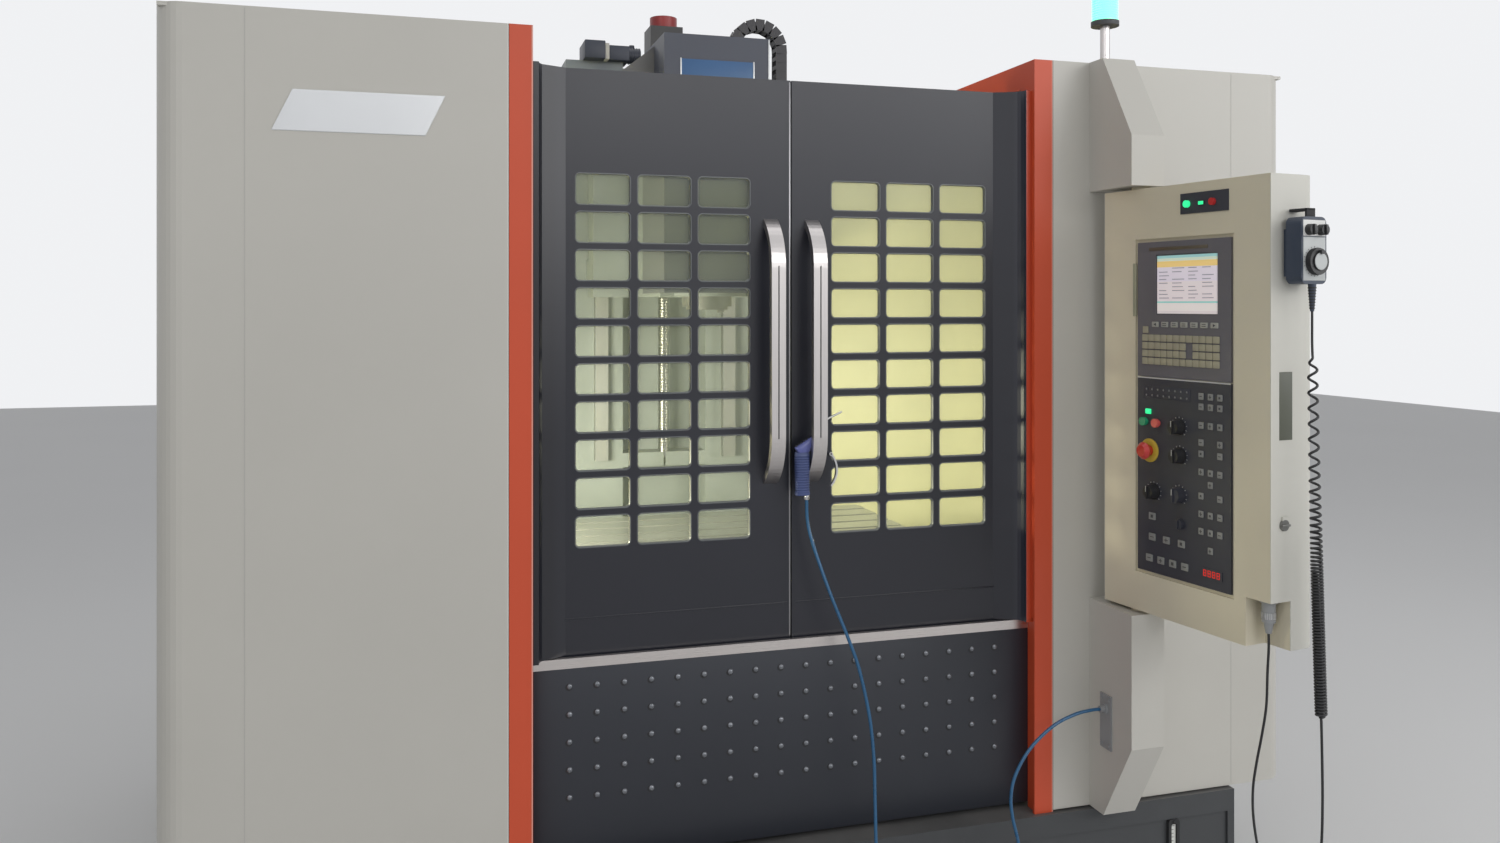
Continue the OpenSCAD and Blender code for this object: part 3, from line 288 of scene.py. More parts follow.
hose_route = [
    (25, 26, 1100.8), (25, 26, 1094), (25, 26, 1086), (26, 22, 1040), (36, 8, 985), (66, -18, 883),
    (106, -36, 775), (130, -42, 704), (153, -46, 597), (163, -48, 501), (165, -50, 407),
    (167, -54, 283), (172, -62, 150), (200, -92, 60), (262, -130, 14), (340, -150, 8),
    (430, -146, 10), (490, -116, 60), (518, -90, 150), (520, -78, 260), (506, -74, 330),
    (501, -74, 380), (513, -74, 432), (552, -74, 490), (613, -74, 537), (672, -74, 559),
    (718, -74, 565), (741, -74, 565)]
hose_path = smooth_route([(x / 1000, y / 1000 + FRONT, z / 1000) for x, y, z in hose_route], 6)
hose_blue = coated("hose_blue", (0.018, 0.115, 0.25), 0.22, cloud=0.08, scale=12, coat=0.3)
air_hose = tube_piece("air_hose_tube", hose_path, 0.008, 16, hose_blue)
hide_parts("air_hose")
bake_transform(air_hose)


# ---- Lead of the hand-wheel ----
# A black PVC lead hangs from the hand-wheel: a short straight length, a curly part that its own
# weight stretches at the top, and a plain length that loops back up into the pendant's socket.
# The lead's own numbers are millimetres in the pendant's frame.
SWING = math.radians(81.7)
pendant_frame = (Matrix.Translation((0.817, FRONT - 0.130, 0)) @ Matrix.Rotation(-SWING, 4, "Z")
                 @ Matrix.Translation((-0.088, -0.032, 0)))
lead_top = [(532, 69, 1532), (532, 69, 1500), (532, 69, 1470), (533, 69, 1440)]
coil_axis = [(533, 69, 1440), (536, 70, 1240), (542, 71, 1000), (546, 74, 800), (548, 76, 700)]
lead_low = [(548, 76, 700), (550, 76, 620), (551, 76, 530), (549, 75, 440), (540, 72, 350), (520, 66, 290),
            (490, 55, 265), (460, 44, 290), (438, 37, 345), (424, 34, 406), (415, 34, 460), (415, 34, 515),
            (424, 34, 571), (438, 34, 636), (449, 34, 700), (452, 34, 770), (455, 34, 820), (455, 34, 855)]
COIL_R, COIL_STEPS, LEAD_D = 8.2, 14, 5.4
axis_path = smooth_route(coil_axis, 40)
axis_len = length_of(axis_path)
samples, walked = [], 0.0
for a, b in zip(axis_path, axis_path[1:]):
    samples.append((walked, a, (b - a).normalized()))
    walked += (b - a).length
samples.append((walked, axis_path[-1], samples[-1][2]))


def on_axis(s):
    for (s0, a, w), (s1, b, _) in zip(samples, samples[1:]):
        if s <= s1:
            return a.lerp(b, (s - s0) / (s1 - s0)), w
    return samples[-1][1], samples[-1][2]


lead_path = smooth_route(lead_top, 5)[:-1]
s = angle = 0.0
while s < axis_len:
    # the turns lie close at the foot and are pulled open at the top
    pitch = 6.2 + 25.5 * min(1.0, max(0.0, (450 - s) / 260)) ** 1.3
    centre, w = on_axis(s)
    u = (Vector((1, 0, 0)) - w * w.x).normalized()
    v = w.cross(u)
    grow = min(1.0, s / 18.0, (axis_len - s) / 8.0)
    radius = COIL_R + 1.6 * min(1.0, s / 400)
    lead_path.append(centre + radius * max(grow, 0.02) * (u * math.cos(angle) + v * math.sin(angle)))
    angle += 2 * math.pi / COIL_STEPS
    s += pitch / COIL_STEPS
lead_path += smooth_route(lead_low, 6)[1:]
lead_path = [pendant_frame @ Vector((p.x / 1000, p.y / 1000, p.z / 1000)) for p in lead_path]
lead_black = coated("lead_black", (0.018, 0.018, 0.020), 0.38, cloud=0.1, scale=20)
curly_lead = tube_piece("curly_lead", lead_path, LEAD_D / 1000, 8, lead_black)
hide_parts("handwheel_cord", "handwheel_coil")
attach(curly_lead, "pendant")


# ---- Front panels, brackets and side walls ----
# Folded steel sheet with a warm white powder coat, slightly uneven like real powder. The brackets
# that carry the pendant are folded from the same sheet.
def dress(material, *names):
    for name in names:
        for slot in node[name].material_slots:
            slot.material = material


def eased(bm, edges, width, segments):
    return bmesh.ops.bevel(bm, geom=list(edges), offset=width, segments=segments, profile=0.5,
                           affect="EDGES", clamp_overlap=True)["faces"]


def add_box(bm, lo, hi, bevel=0.0, place=None, segments=2):
    """A box between two corners, in any order, with eased edges."""
    lo, hi = Vector(map(min, lo, hi)), Vector(map(max, lo, hi))
    matrix = Matrix.Translation((lo + hi) / 2) @ Matrix.Diagonal((*(hi - lo), 1))
    verts = bmesh.ops.create_cube(bm, size=1.0, matrix=matrix)["verts"]
    if bevel:
        faces = eased(bm, dict.fromkeys(e for v in verts for e in v.link_edges), bevel, segments)
        verts = list({v for f in faces for v in f.verts} | {v for v in verts if v.is_valid})
    if place is not None:
        bmesh.ops.transform(bm, matrix=place, verts=verts)


def boxes(*parts):
    """A bmesh of boxes, each given as add_box takes it."""
    bm = bmesh.new()
    for part in parts:
        add_box(bm, *part)
    return bm


def add_rod(bm, start, end, r0, r1=None, sides=40, bevel=0.0):
    """A round or tapered rod between two points."""
    start, end = Vector(start), Vector(end)
    way = end - start
    matrix = Matrix.Translation((start + end) / 2) @ way.to_track_quat("Z", "Y").to_matrix().to_4x4()
    verts = bmesh.ops.create_cone(bm, cap_ends=True, segments=sides, radius1=r0,
                                  radius2=r0 if r1 is None else r1, depth=way.length,
                                  matrix=matrix)["verts"]
    if bevel:
        edges = dict.fromkeys(e for v in verts for e in v.link_edges)
        eased(bm, [e for e in edges if any(len(f.verts) > 4 for f in e.link_faces)], bevel, 3)


def ready(mesh, name, body):
    """The finished mesh as a piece: smooth but for its sharp edges, riding on the body."""
    mesh.shade_smooth()
    mesh.set_sharp_from_angle(angle=math.radians(35))
    made = linked(name, mesh)
    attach(made, body)
    return made


def piece(bm, name, material, body, place=None):
    bmesh.ops.remove_doubles(bm, verts=bm.verts, dist=1e-6)
    bmesh.ops.recalc_face_normals(bm, faces=bm.faces)
    if place is not None:
        bmesh.ops.transform(bm, matrix=place, verts=bm.verts)
    mesh = bpy.data.meshes.new(name)
    bm.to_mesh(mesh)
    bm.free()
    mesh.materials.append(material)
    return ready(mesh, name, body)


panel_white = coated("panel_white", (0.56, 0.545, 0.50), 0.36, cloud=0.03, scale=1.4, depth=0.10, dust=0.25)
dress(panel_white, "left_fascia", "right_fascia", "side_walls", "upper_bracket", "lower_bracket",
      "electric_cabinet", "cabinet_door")

# Fold seams that run down the panels, and the bare badge plate on the left panel
seam_gray = coated("seam_gray", (0.50, 0.49, 0.46), 0.5, cloud=0.03, dust=0.1)
seams = boxes(*(((x - 0.0009, FRONT - 0.0004, 0.304), (x + 0.0009, FRONT + 0.002, 2.144))
                for x in (-1.18, 1.18)))
piece(seams, "panel_seams", seam_gray, "machine")
plate_gray = coated("plate_gray", (0.56, 0.57, 0.58), 0.3, metallic=0.7, cloud=0.04, dust=0.03)
PLATE_T = 0.0025
bm = bmesh.new()
plate = [[bm.verts.new((x, FRONT - deep, z)) for x, z in
          ((-1.09, 1.985), (-0.79, 1.985), (-0.83, 1.90), (-1.13, 1.90))] for deep in (PLATE_T, 0)]
skin(bm, plate)
bmesh.ops.bevel(bm, geom=[e for e in bm.edges if all(abs(v.co.y - FRONT + PLATE_T) < 1e-5 for v in e.verts)],
                offset=0.001, segments=2, affect="EDGES")
piece(bm, "bare_plate", plate_gray, "machine")


# ---- Orange trims ----
# Two folded strips in a warm orange powder coat close the door opening left and right, and their
# side plates reach deep into the machine above the doors. A bead in a paler tone runs down their
# edges as a painted highlight, and a dark seam parts them from the front panels.
trim_orange = coated("trim_orange", (0.62, 0.080, 0.028), 0.38, cloud=0.05, scale=2.0, depth=0.08, dust=0.12)
dress(trim_orange, "left_trim", "right_trim")
trim_glint = coated("trim_glint", (0.80, 0.46, 0.38), 0.25, cloud=0.03, dust=0.0)
panel_glint = coated("panel_glint", (0.80, 0.76, 0.72), 0.3, cloud=0.03, dust=0.0)
seam_black = coated("seam_black", (0.03, 0.016, 0.014), 0.6, cloud=0.03, dust=0.0)
TRIM_TOP = 2.1478
reveals = boxes(*(((side * x0, FRONT + 0.0078, z0), (side * x1, FRONT + y1, z1)) for side in (-1, 1)
                  for x0, x1, y1, z0, z1 in ((0.607, 0.609, 0.0155, 0.7745, 2.0745),
                                             (0.607, 0.609, 0.066, 2.0750, 2.0842),
                                             (0.615, 0.621, 0.046, 0.7395, 0.7745))))
piece(reveals, "trim_reveals", trim_orange, "machine")
# the paler beads are painted highlights on the trims' edges and the left panel's edge
for name, material, slot, foot, edges in (
        ("trim_highlight_beads", trim_glint, "trim_orange", 0.2955, (-0.6088, 0.6562)),
        ("fascia_highlight_bead", panel_glint, "panel_white", 0.300, (-0.6600,))):
    bm = bmesh.new()
    for x in edges:
        add_rod(bm, (x, FRONT + 0.0011, foot), (x, FRONT + 0.0011, TRIM_TOP), 0.00155, sides=12)
    piece(bm, name, material, "machine")
seams = boxes(*(((x - 0.0007, FRONT - 0.0001, 0.300), (x + 0.0007, FRONT + 0.004, TRIM_TOP))
                for x in (-0.658, 0.658)))
piece(seams, "trim_seams", seam_black, "machine")


# ---- Doors ----
# Each sliding door is a sheet panel in charcoal with a slight blue cast. A grid of rounded windows
# is pressed into it, each with a bevelled rim, and one polycarbonate pane lies behind them all.
def along_object(tree, axis):
    """The place along an axis of the Object coordinates."""
    return add_node(tree, "ShaderNodeSeparateXYZ", {0: on_object(tree)}).outputs[axis]


def recolour(material, socket):
    """The socket's colour takes the place of the coat's one colour."""
    group = next(n for n in material.node_tree.nodes if n.type == "GROUP")
    material.node_tree.links.new(socket, group.inputs["Color"])


SIDES = ((-1, "left_door"), (1, "right_door"))
CHARCOAL = (0.017, 0.018, 0.026)
door_charcoal = coated("door_charcoal", CHARCOAL, 0.27, cloud=0.07, scale=1.8, depth=0.10, dust=0.2)
dress(door_charcoal, "left_door", "right_door")
# painted shade darkens the left door's outer end and painted light brightens the right door's curve; its
# outer lap is orange
tree, tone = door_charcoal.node_tree, CHARCOAL
place_x = along_object(tree, "X")
for start_x, end_x, colour in (
        (-0.545, -0.562, (0.0125, 0.0130, 0.0190)), (0.572, 0.596, (0.034, 0.036, 0.052)),
        (0.5938, 0.5942, (0.50, 0.062, 0.022))):
    tone = mix_colour(tree, remap(tree, place_x, (start_x, end_x)), tone, colour)
recolour(door_charcoal, tone)
rim_gray = coated("rim_gray", (0.14, 0.15, 0.155), 0.3, cloud=0.05, scale=8, metallic=0.2)


def scatter(g, points, instance, material, more={}):
    """Ends the tree: the instance on the points, made real, in the material."""
    put = add_node(g, "GeometryNodeInstanceOnPoints", {"Points": points, "Instance": instance, **more})
    real = add_node(g, "GeometryNodeRealizeInstances", {0: put})
    paint = add_node(g, "GeometryNodeSetMaterial", {"Geometry": real, "Material": material})
    add_node(g, "NodeGroupOutput", {"Geometry": paint})
    return g


def grid_tree():
    """Repeats the piece's own mesh over a grid of columns and rows in the XZ plane."""
    g, given = new_tree("repeat_on_grid", "GeometryNodeTree", (
        ("Geometry", "Geometry"), ("Columns", "Int", 3), ("Rows", "Int", 3),
        ("Pitch X", "Float", 0.1), ("Pitch Z", "Float", 0.1), ("Material", "Material")),
        (("Geometry", "Geometry"),))
    spans = {}
    for count, pitch, axis in (("Columns", "Pitch X", "X"), ("Rows", "Pitch Z", "Y")):
        gaps = math_node(g, "SUBTRACT", given[count], 1)
        spans["Size " + axis] = math_node(g, "MULTIPLY", gaps, given[pitch])
        spans["Vertices " + axis] = given[count]
    grid = add_node(g, "GeometryNodeMeshGrid", spans)
    stand = add_node(g, "GeometryNodeTransform", {"Geometry": grid, "Rotation": (math.radians(90), 0, 0)})
    return scatter(g, stand, given["Geometry"], given["Material"])


repeat_on_grid = grid_tree()


def made_by(tree, data, name, values):
    """The plain mesh that the geometry tree makes of the data."""
    maker = linked(name + "_maker", data)
    modifier = maker.modifiers.new("maker", "NODES")
    modifier.node_group = tree
    for item in tree.interface.items_tree:
        if item.in_out == "INPUT" and item.name in values:
            modifier[item.identifier] = values[item.name]
    bpy.context.view_layer.update()
    done = bpy.data.meshes.new_from_object(maker.evaluated_get(bpy.context.evaluated_depsgraph_get()))
    bpy.data.objects.remove(maker)
    return done


def grid_of(bm, name, material, body, counts, pitches, centre, place=Matrix.Identity(4)):
    """The bmesh, repeated by the grid tree about the centre, as one plain mesh."""
    bmesh.ops.recalc_face_normals(bm, faces=bm.faces)
    mesh = bpy.data.meshes.new(name + "_one")
    bm.to_mesh(mesh)
    bm.free()
    done = made_by(repeat_on_grid, mesh, name, {
        "Columns": counts[0], "Rows": counts[1], "Pitch X": pitches[0], "Pitch Z": pitches[1],
        "Material": material})
    done.transform(place @ Matrix.Translation(centre))
    return ready(done, name, body)


WIN_W, WIN_H, WIN_R, WIN_PITCH = 0.1235, 0.069, 0.010, (0.1411, 0.0854)


def rim_loop(bm, inset, y, steps=5):
    """One loop round a window, a rounded rectangle in the XZ plane."""
    x, z = WIN_W / 2 - WIN_R, WIN_H / 2 - WIN_R
    return [bm.verts.new((cx + (WIN_R - inset) * math.cos(a), y, cz + (WIN_R - inset) * math.sin(a)))
            for cx, cz, start in ((x, z, 0), (-x, z, 90), (-x, -z, 180), (x, -z, 270))
            for a in (math.radians(start + 90 * k / steps) for k in range(steps + 1))]


for side, body in SIDES:
    bm = bmesh.new()
    skin(bm, [rim_loop(bm, inset, y) for inset, y in (
        (-0.0022, 0.0), (-0.0014, -0.0007), (-0.0002, -0.0008), (0.0012, 0.0012), (0.0014, 0.0098))],
         closed=True)
    centre = (side * (0.1015 + (3 * 0.1235 + 2 * 0.0176) / 2), FRONT + 0.066,
              1.002 + (10 * 0.069 + 9 * 0.0164) / 2)
    grid_of(bm, body + "_rims", rim_gray, body, (3, 10), WIN_PITCH, centre)

# The panes: clear, faintly green, with a haze that varies
pane, tree, shader = plain_material("pane")
haze = remap(tree, noise(tree, 14, Vector=on_object(tree)), to=(0.06, 0.22))
fill(tree, shader, {"Base Color": (0.60, 0.66, 0.40, 1), "Alpha": 0.13, "Roughness": haze})
dress(pane, "left_window", "right_window")

# A bright strip on the left door's meeting edge, and the pressed line low on both doors
edge_steel = coated("edge_steel", (0.30, 0.30, 0.31), 0.3, metallic=0.9, cloud=0.05, dust=0.03)
piece(boxes(((-0.0055, FRONT + 0.0650, 0.765), (-0.0019, FRONT + 0.0665, 2.070), 0.0005)),
      "meeting_strip", edge_steel, "left_door")
for side, body in SIDES:
    piece(boxes(((side * 0.010, FRONT + 0.0648, 0.842), (side * 0.556, FRONT + 0.0668, 0.846), 0.0008)),
          body + "_crease", door_charcoal, body)


# ---- Door handles ----
# Bow handles of extruded aluminium, brushed along their length, with a narrow groove down the middle
# that a black strip fills as painted shade, and eased edges.
def brushed_group():
    """Fine lines along one direction, in colour, roughness and height."""
    g, given = new_tree("brushed_metal", "ShaderNodeTree", (
        ("Color", "Color"), ("Stretch", "Vector", (900, 900, 12)), ("Roughness", "Float", 0.3)), COAT_OUT)
    stretch = add_node(g, "ShaderNodeVectorMath", {0: on_object(g), 1: given["Stretch"]},
                       operation="MULTIPLY")
    lines = noise(g, 1, 3, Vector=stretch)
    shade = remap(g, lines, to=(0.86, 1.08))
    add_node(g, "NodeGroupOutput", {
        "Color": add_node(g, "ShaderNodeVectorMath", {0: given["Color"], "Scale": shade}, operation="SCALE"),
        "Roughness": math_node(g, "MULTIPLY_ADD", lines, 0.16, given["Roughness"]),
        "Height": lines})
    return g


brushed_metal = brushed_group()


def brushed(name, colour, rough, stretch=(900, 900, 12)):
    return finish_of(name, brushed_metal, colour, 0.06, 0.0002, {"Stretch": stretch, "Roughness": rough},
                     {"Metallic": 1.0})


handle_metal = brushed("handle_metal", (0.59, 0.56, 0.55), 0.24)
dress(handle_metal, "left_handle", "right_handle")
for name in ("left_handle", "right_handle"):
    ease = node[name].modifiers.new("eased_edges", "BEVEL")
    ease.width, ease.segments, ease.limit_method, ease.angle_limit = 0.004, 3, "ANGLE", math.radians(50)
black_and_painted_shade = coated("black_and_painted_shade", (0.02, 0.02, 0.022), 0.6, cloud=0.05, dust=0.0)
# a black strip down the middle of each handle: painted shade in its groove
for side, body in SIDES:
    x = side * 0.051
    piece(boxes(((x - 0.00145, FRONT + 0.0006, 1.2375), (x + 0.00145, FRONT + 0.0038, 1.6345), 0.0003)),
          body + "_handle_groove_shade", black_and_painted_shade, body)


# ---- Sill and apron ----
# A bright stainless strip caps the apron below the doors. The apron is a dark sheet with rows of
# small pressed domes in a lighter tone, a painted highlight, each over a dark disc set low and to
# the left, a painted shadow.
dress(brushed("sill_steel", (0.62, 0.58, 0.56), 0.22, (12, 900, 900)), "door_sill")
apron_paint = coated("apron_paint", (0.024, 0.027, 0.036), 0.36, cloud=0.08, scale=2.2, depth=0.10, dust=0.2)
lo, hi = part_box("apron")
apron = piece(boxes(((lo.x, FRONT + 0.046, lo.z), (hi.x, FRONT + 0.058, hi.z), 0.0008),
                    ((lo.x, FRONT + 0.058, lo.z), (hi.x, hi.y, lo.z + 0.008))),
              "apron_sheet", apron_paint, "machine")
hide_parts("apron")
piece(boxes(*(((side * 0.606, FRONT + 0.0582, lo.z), (side * 0.645, FRONT + 0.0602, 0.7255))
              for side in (-1, 1))),
      "apron_flanges", apron_paint, "machine")
DOME_R, DOME_H, DOME_SIDES, DOME_GRID, DOME_PITCH = 0.0068, 0.0045, 20, (18, 5), (0.0615, 0.0615)
dome_centre = (0, FRONT + 0.0461, hi.z - 0.040 - 2 * DOME_PITCH[1])
# a dark disc behind each dome, moved down and to the left: a painted shadow
bm = bmesh.new()
add_rod(bm, (-0.0016, 0.0004, -0.0016), (-0.0016, -0.0006, -0.0016), 0.0082, 0.0078, sides=DOME_SIDES)
grid_of(bm, "dome_painted_shadows", black_and_painted_shade, "machine", DOME_GRID, DOME_PITCH, dome_centre)
bm = bmesh.new()
rings = [[bm.verts.new((DOME_R * math.cos(a) * math.cos(t), -DOME_H * math.sin(a),
                        DOME_R * math.cos(a) * math.sin(t))) for t in turn(DOME_SIDES)]
         for a in (math.radians(18 * k) for k in range(5))]
tip = bm.verts.new((0, -DOME_H, 0))
skin(bm, rings, top=False)
for a, b in zip(rings[-1], rings[-1][1:] + rings[-1][:1]):
    bm.faces.new((a, b, tip))
# the domes' lighter tone is a painted highlight
dome_painted_highlight = coated("dome_painted_highlight", (0.19, 0.20, 0.22), 0.16, cloud=0.2, scale=40, dust=0.1, metallic=0.5)
grid_of(bm, "apron_domes", dome_painted_highlight, "machine", DOME_GRID, DOME_PITCH, dome_centre)


# ---- Coolant tank and sight gauge ----
# A welded tank in dark textured paint lies under the front. Its sight gauge has a white scale
# behind a clear tube.
tank_paint = coated("tank_paint", (0.055, 0.058, 0.062), 0.5, cloud=0.12, scale=4.0, peel=180,
                    depth=0.25, dust=0.35)
dress(tank_paint, "coolant_tank", "top_rail")
dress(black_and_painted_shade, "level_gauge")
scale_white = coated("scale_white", (0.80, 0.80, 0.76), 0.4, cloud=0.04)
lo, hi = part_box("level_gauge")
piece(boxes(((lo.x + 0.009, lo.y + 0.0045, lo.z + 0.013), (hi.x - 0.009, lo.y + 0.0052, hi.z - 0.013))),
      "gauge_scale", scale_white, "machine")
bm = boxes(*(((lo.x + 0.0095, lo.y + 0.0038, lo.z + 0.018 + k * 0.0094),
              (lo.x + (0.0165 if k % 5 else 0.0195), lo.y + 0.0046, lo.z + 0.0188 + k * 0.0094))
             for k in range(11)))
for z in (lo.z + 0.006, hi.z - 0.006):
    add_rod(bm, (lo.x + 0.016, lo.y - 0.002, z), (lo.x + 0.016, lo.y + 0.001, z), 0.0045, sides=6)
piece(bm, "gauge_marks", black_and_painted_shade, "machine")


# ---- Signal lamp ----
# A stack lamp on a chromed pole: green lit below, then amber and red, each a ribbed clear lens.
def glowing(material, colour, glow):
    tree = material.node_tree
    fill(tree, tree.nodes["Principled BSDF"], {"Emission Color": (*colour, 1), "Emission Strength": glow})
    return material


LAMP = Vector((0.845, FRONT + 0.060, 2.148))


def stack_rod(bm, z0, z1, *radii, sides):
    add_rod(bm, LAMP + Vector((0, 0, z0)), LAMP + Vector((0, 0, z1)), *radii, sides=sides)
    return bm


bm = boxes(((LAMP.x - 0.050, FRONT + 0.041, 2.118), (LAMP.x + 0.050, FRONT + 0.098, 2.148), 0.001),
           (LAMP + Vector((-0.040, -0.036, 0)), LAMP + Vector((0.040, 0.036, 0.010)), 0.002))
stack_rod(bm, 0.110, 0.122, 0.035, sides=48)
stack_rod(bm, 0.314, 0.326, 0.033, 0.025, sides=48)
lamp_base = piece(bm, "lamp_base", tank_paint, "machine")
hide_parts("signal_lamp")
piece(stack_rod(bmesh.new(), 0.010, 0.110, 0.012, sides=32), "lamp_pole", handle_metal, "machine")
LENS_PROFILE = [(0.0330, 0.0), (0.0330, 0.003)]
for j in range(9):
    LENS_PROFILE += [(0.0318, 0.0045 + j * 0.0062), (0.0330, 0.0076 + j * 0.0062)]
LENS_PROFILE += [(0.0330, 0.0635), (0.030, 0.0638)]
# the amber and red lenses are not lit: their faint glow is painted light
for k, (word, colour, glow) in enumerate((
        ("green", (0.22, 0.95, 0.62), 1.15), ("amber", (0.75, 0.33, 0.02), 0.10),
        ("red", (0.60, 0.03, 0.02), 0.08))):
    lens = glowing(coated("lens_" + word, colour, 0.12, cloud=0.02, dust=0.02, coat=0.5), colour, glow)
    bm = bmesh.new()
    z0 = 0.1221 + k * 0.064
    skin(bm, [[bm.verts.new(LAMP + Vector((r * math.cos(t), r * math.sin(t), z0 + h))) for t in turn(40)]
              for r, h in LENS_PROFILE])
    piece(bm, "lamp_" + word, lens, "machine")


# ---- Castings, rails and screws ----
# Bed, column, saddle and head are gray iron castings under a thick coat of machine paint. Rails,
# screws and the spindle are ground steel. The ball screws show their thread.
dress(coated("casting_paint", (0.20, 0.225, 0.235), 0.42, cloud=0.12, scale=5, peel=90, depth=0.35, dust=0.3),
      "bed", "column", "saddle", "head")
ground = brushed("ground_steel", (0.34, 0.35, 0.36), 0.46, (30, 700, 700))
dress(ground, "guide_rails", "levelling_feet")
dress(coated("spindle_steel", (0.16, 0.165, 0.17), 0.55, metallic=0.7, cloud=0.1, scale=18, dust=0.1),
      "spindle")
dress(coated("disc_steel", (0.46, 0.47, 0.48), 0.3, metallic=0.9, cloud=0.1, scale=7, dust=0.1), "tool_disc")
for name, axis in (("x_screw", "X"), ("y_screw", "Y"), ("z_screw", "Z")):
    screw_steel = brushed(name + "_steel", (0.60, 0.60, 0.60), 0.2, (400, 400, 400))
    tree = screw_steel.node_tree
    thread = add_node(tree, "ShaderNodeTexWave", {"Scale": 31.4, "Vector": on_object(tree)},
                      bands_direction=axis)
    bump = add_node(tree, "ShaderNodeBump", {"Distance": 0.002, "Height": thread.outputs["Fac"]})
    fill(tree, tree.nodes["Principled BSDF"], {"Normal": bump})
    dress(screw_steel, name)

# The table: painted sides, a ground top
dress(coated("table_iron", (0.40, 0.41, 0.41), 0.28, metallic=0.75, cloud=0.10, scale=6, peel=140, depth=0.1,
             dust=0.1), "table")


# ---- Inner sheet, head cover and motors ----
# The work space is lined with pale sheet. The head wears a dark folded cover with a gusset. The
# servo motors are black with a dark red round cap.
dress(coated("inner_sheet", (0.68, 0.67, 0.43), cloud=0.08, scale=2.5, dust=0.2), "splash_guard",
      "magazine_drum")
COVER_BLUE = (0.065, 0.072, 0.10)
cover_paint = coated("cover_paint", COVER_BLUE, cloud=0.06, scale=4, dust=0.2)
dress(cover_paint, "head_cover")
tree = cover_paint.node_tree
gusset = math_node(tree, "LESS_THAN", along_object(tree, "X"), -0.1605)
recolour(cover_paint, mix_colour(tree, gusset, COVER_BLUE, (0.17, 0.17, 0.175)))
cover_plate = coated("cover_plate", (0.045, 0.13, 0.30), 0.35, scale=6)
piece(boxes(((-0.108, FRONT + 0.7484, 2.120), (0.108, FRONT + 0.7502, 2.262), 0.0006)),
      "head_plate", cover_plate, "head")
bm = boxes(*(((x - 0.0022, FRONT + 0.7478, 2.118), (x + 0.0022, FRONT + 0.7502, 2.264), 0.0006)
             for x in (-0.1105, 0.1105)),
           ((0.1550, FRONT + 0.7480, 1.640), (0.1598, FRONT + 0.7502, 2.333), 0.0008))
piece(bm, "cover_edges", plate_gray, "head")
motor_black = coated("motor_black", (0.03, 0.03, 0.032), cloud=0.1, scale=15, dust=0.1)
motor_red = coated("motor_red", (0.28, 0.02, 0.02), 0.3, scale=15)
dress(motor_black, "servo_motors", "spindle_motor")
MOTOR_R = 0.0484
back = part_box("servo_motors")[0].y
bm = bmesh.new()
for low, high, radius in ((2.529, 2.5695, MOTOR_R), (2.5695, 2.570, 0.040)):
    add_rod(bm, (0, FRONT + 1.520, low), (0, FRONT + 1.520, high), radius, sides=48)
add_rod(bm, (0, back + 0.041, 0.496), (0, back - 0.0004, 0.496), MOTOR_R, sides=48)
piece(bm, "motor_caps", motor_red, "machine")
bm = bmesh.new()
add_rod(bm, (0, FRONT + 1.200, 2.318), (0, FRONT + 1.200, 2.3334), 0.0953, sides=64)
piece(bm, "spindle_motor_cap", motor_red, "head")

# The oil unit on the column's top: a tank, a pump block and a ribbed motor
unit_blue = coated("unit_blue", (0.030, 0.036, 0.055), cloud=0.08, scale=12, dust=0.2)
UNIT_Y, UNIT_Z = FRONT + 1.520, 2.428
bm = boxes(((-0.291, FRONT + 1.450, 2.400), (-0.219, FRONT + 1.590, 2.463), 0.003),
           ((-0.205, FRONT + 1.465, 2.400), (-0.132, FRONT + 1.575, 2.452), 0.003))
add_rod(bm, (-0.134, UNIT_Y, UNIT_Z), (-0.086, UNIT_Y, UNIT_Z), 0.0265)
for k in range(5):
    x = -0.127 + k * 0.009
    add_rod(bm, (x, UNIT_Y, UNIT_Z), (x + 0.004, UNIT_Y, UNIT_Z), 0.0292)
add_rod(bm, (-0.115, UNIT_Y, 2.452), (-0.115, UNIT_Y, 2.466), 0.011, 0.009, sides=24)
piece(bm, "oil_unit", unit_blue, "machine")
piece(boxes(((-0.2195, FRONT + 1.455, 2.400), (-0.2045, FRONT + 1.585, 2.456), 0.002)),
      "oil_unit_flange", seam_gray, "machine")


# ---- Cable chain ----
# An energy chain of black nylon links arches from the head to the column. Each link has two side
# plates and two cross bars.
def chain_tree():
    """One link at each of the points along a curve."""
    g, given = new_tree("chain_links", "GeometryNodeTree", (
        ("Curve", "Geometry"), ("Links", "Int", 30), ("Link Length", "Float", 0.03),
        ("Width", "Float", 0.055), ("Height", "Float", 0.029), ("Material", "Material")),
        (("Geometry", "Geometry"),))
    sizes = {"X": given["Height"], "Y": given["Width"], "Z": given["Link Length"]}
    link = add_node(g, "GeometryNodeJoinGeometry")
    for shares, axis, off in (((1.0, 0.07, 1.06), "Y", 0.46), ((1.0, 0.07, 1.06), "Y", -0.46),
                              ((0.10, 0.9, 0.45), "X", 0.44), ((0.10, 0.9, 0.45), "X", -0.44)):
        size = add_node(g, "ShaderNodeCombineXYZ", {
            a: math_node(g, "MULTIPLY", sizes[a], share) for a, share in zip("XYZ", shares)})
        shift = add_node(g, "ShaderNodeCombineXYZ", {axis: math_node(g, "MULTIPLY", sizes[axis], off)})
        cube = add_node(g, "GeometryNodeMeshCube", {"Size": size})
        fill(g, link, {0: add_node(g, "GeometryNodeTransform", {"Geometry": cube, "Translation": shift})})
    points = add_node(g, "GeometryNodeCurveToPoints", {"Curve": given["Curve"], "Count": given["Links"]})
    return scatter(g, points, link, given["Material"], {"Rotation": points.outputs["Rotation"]})


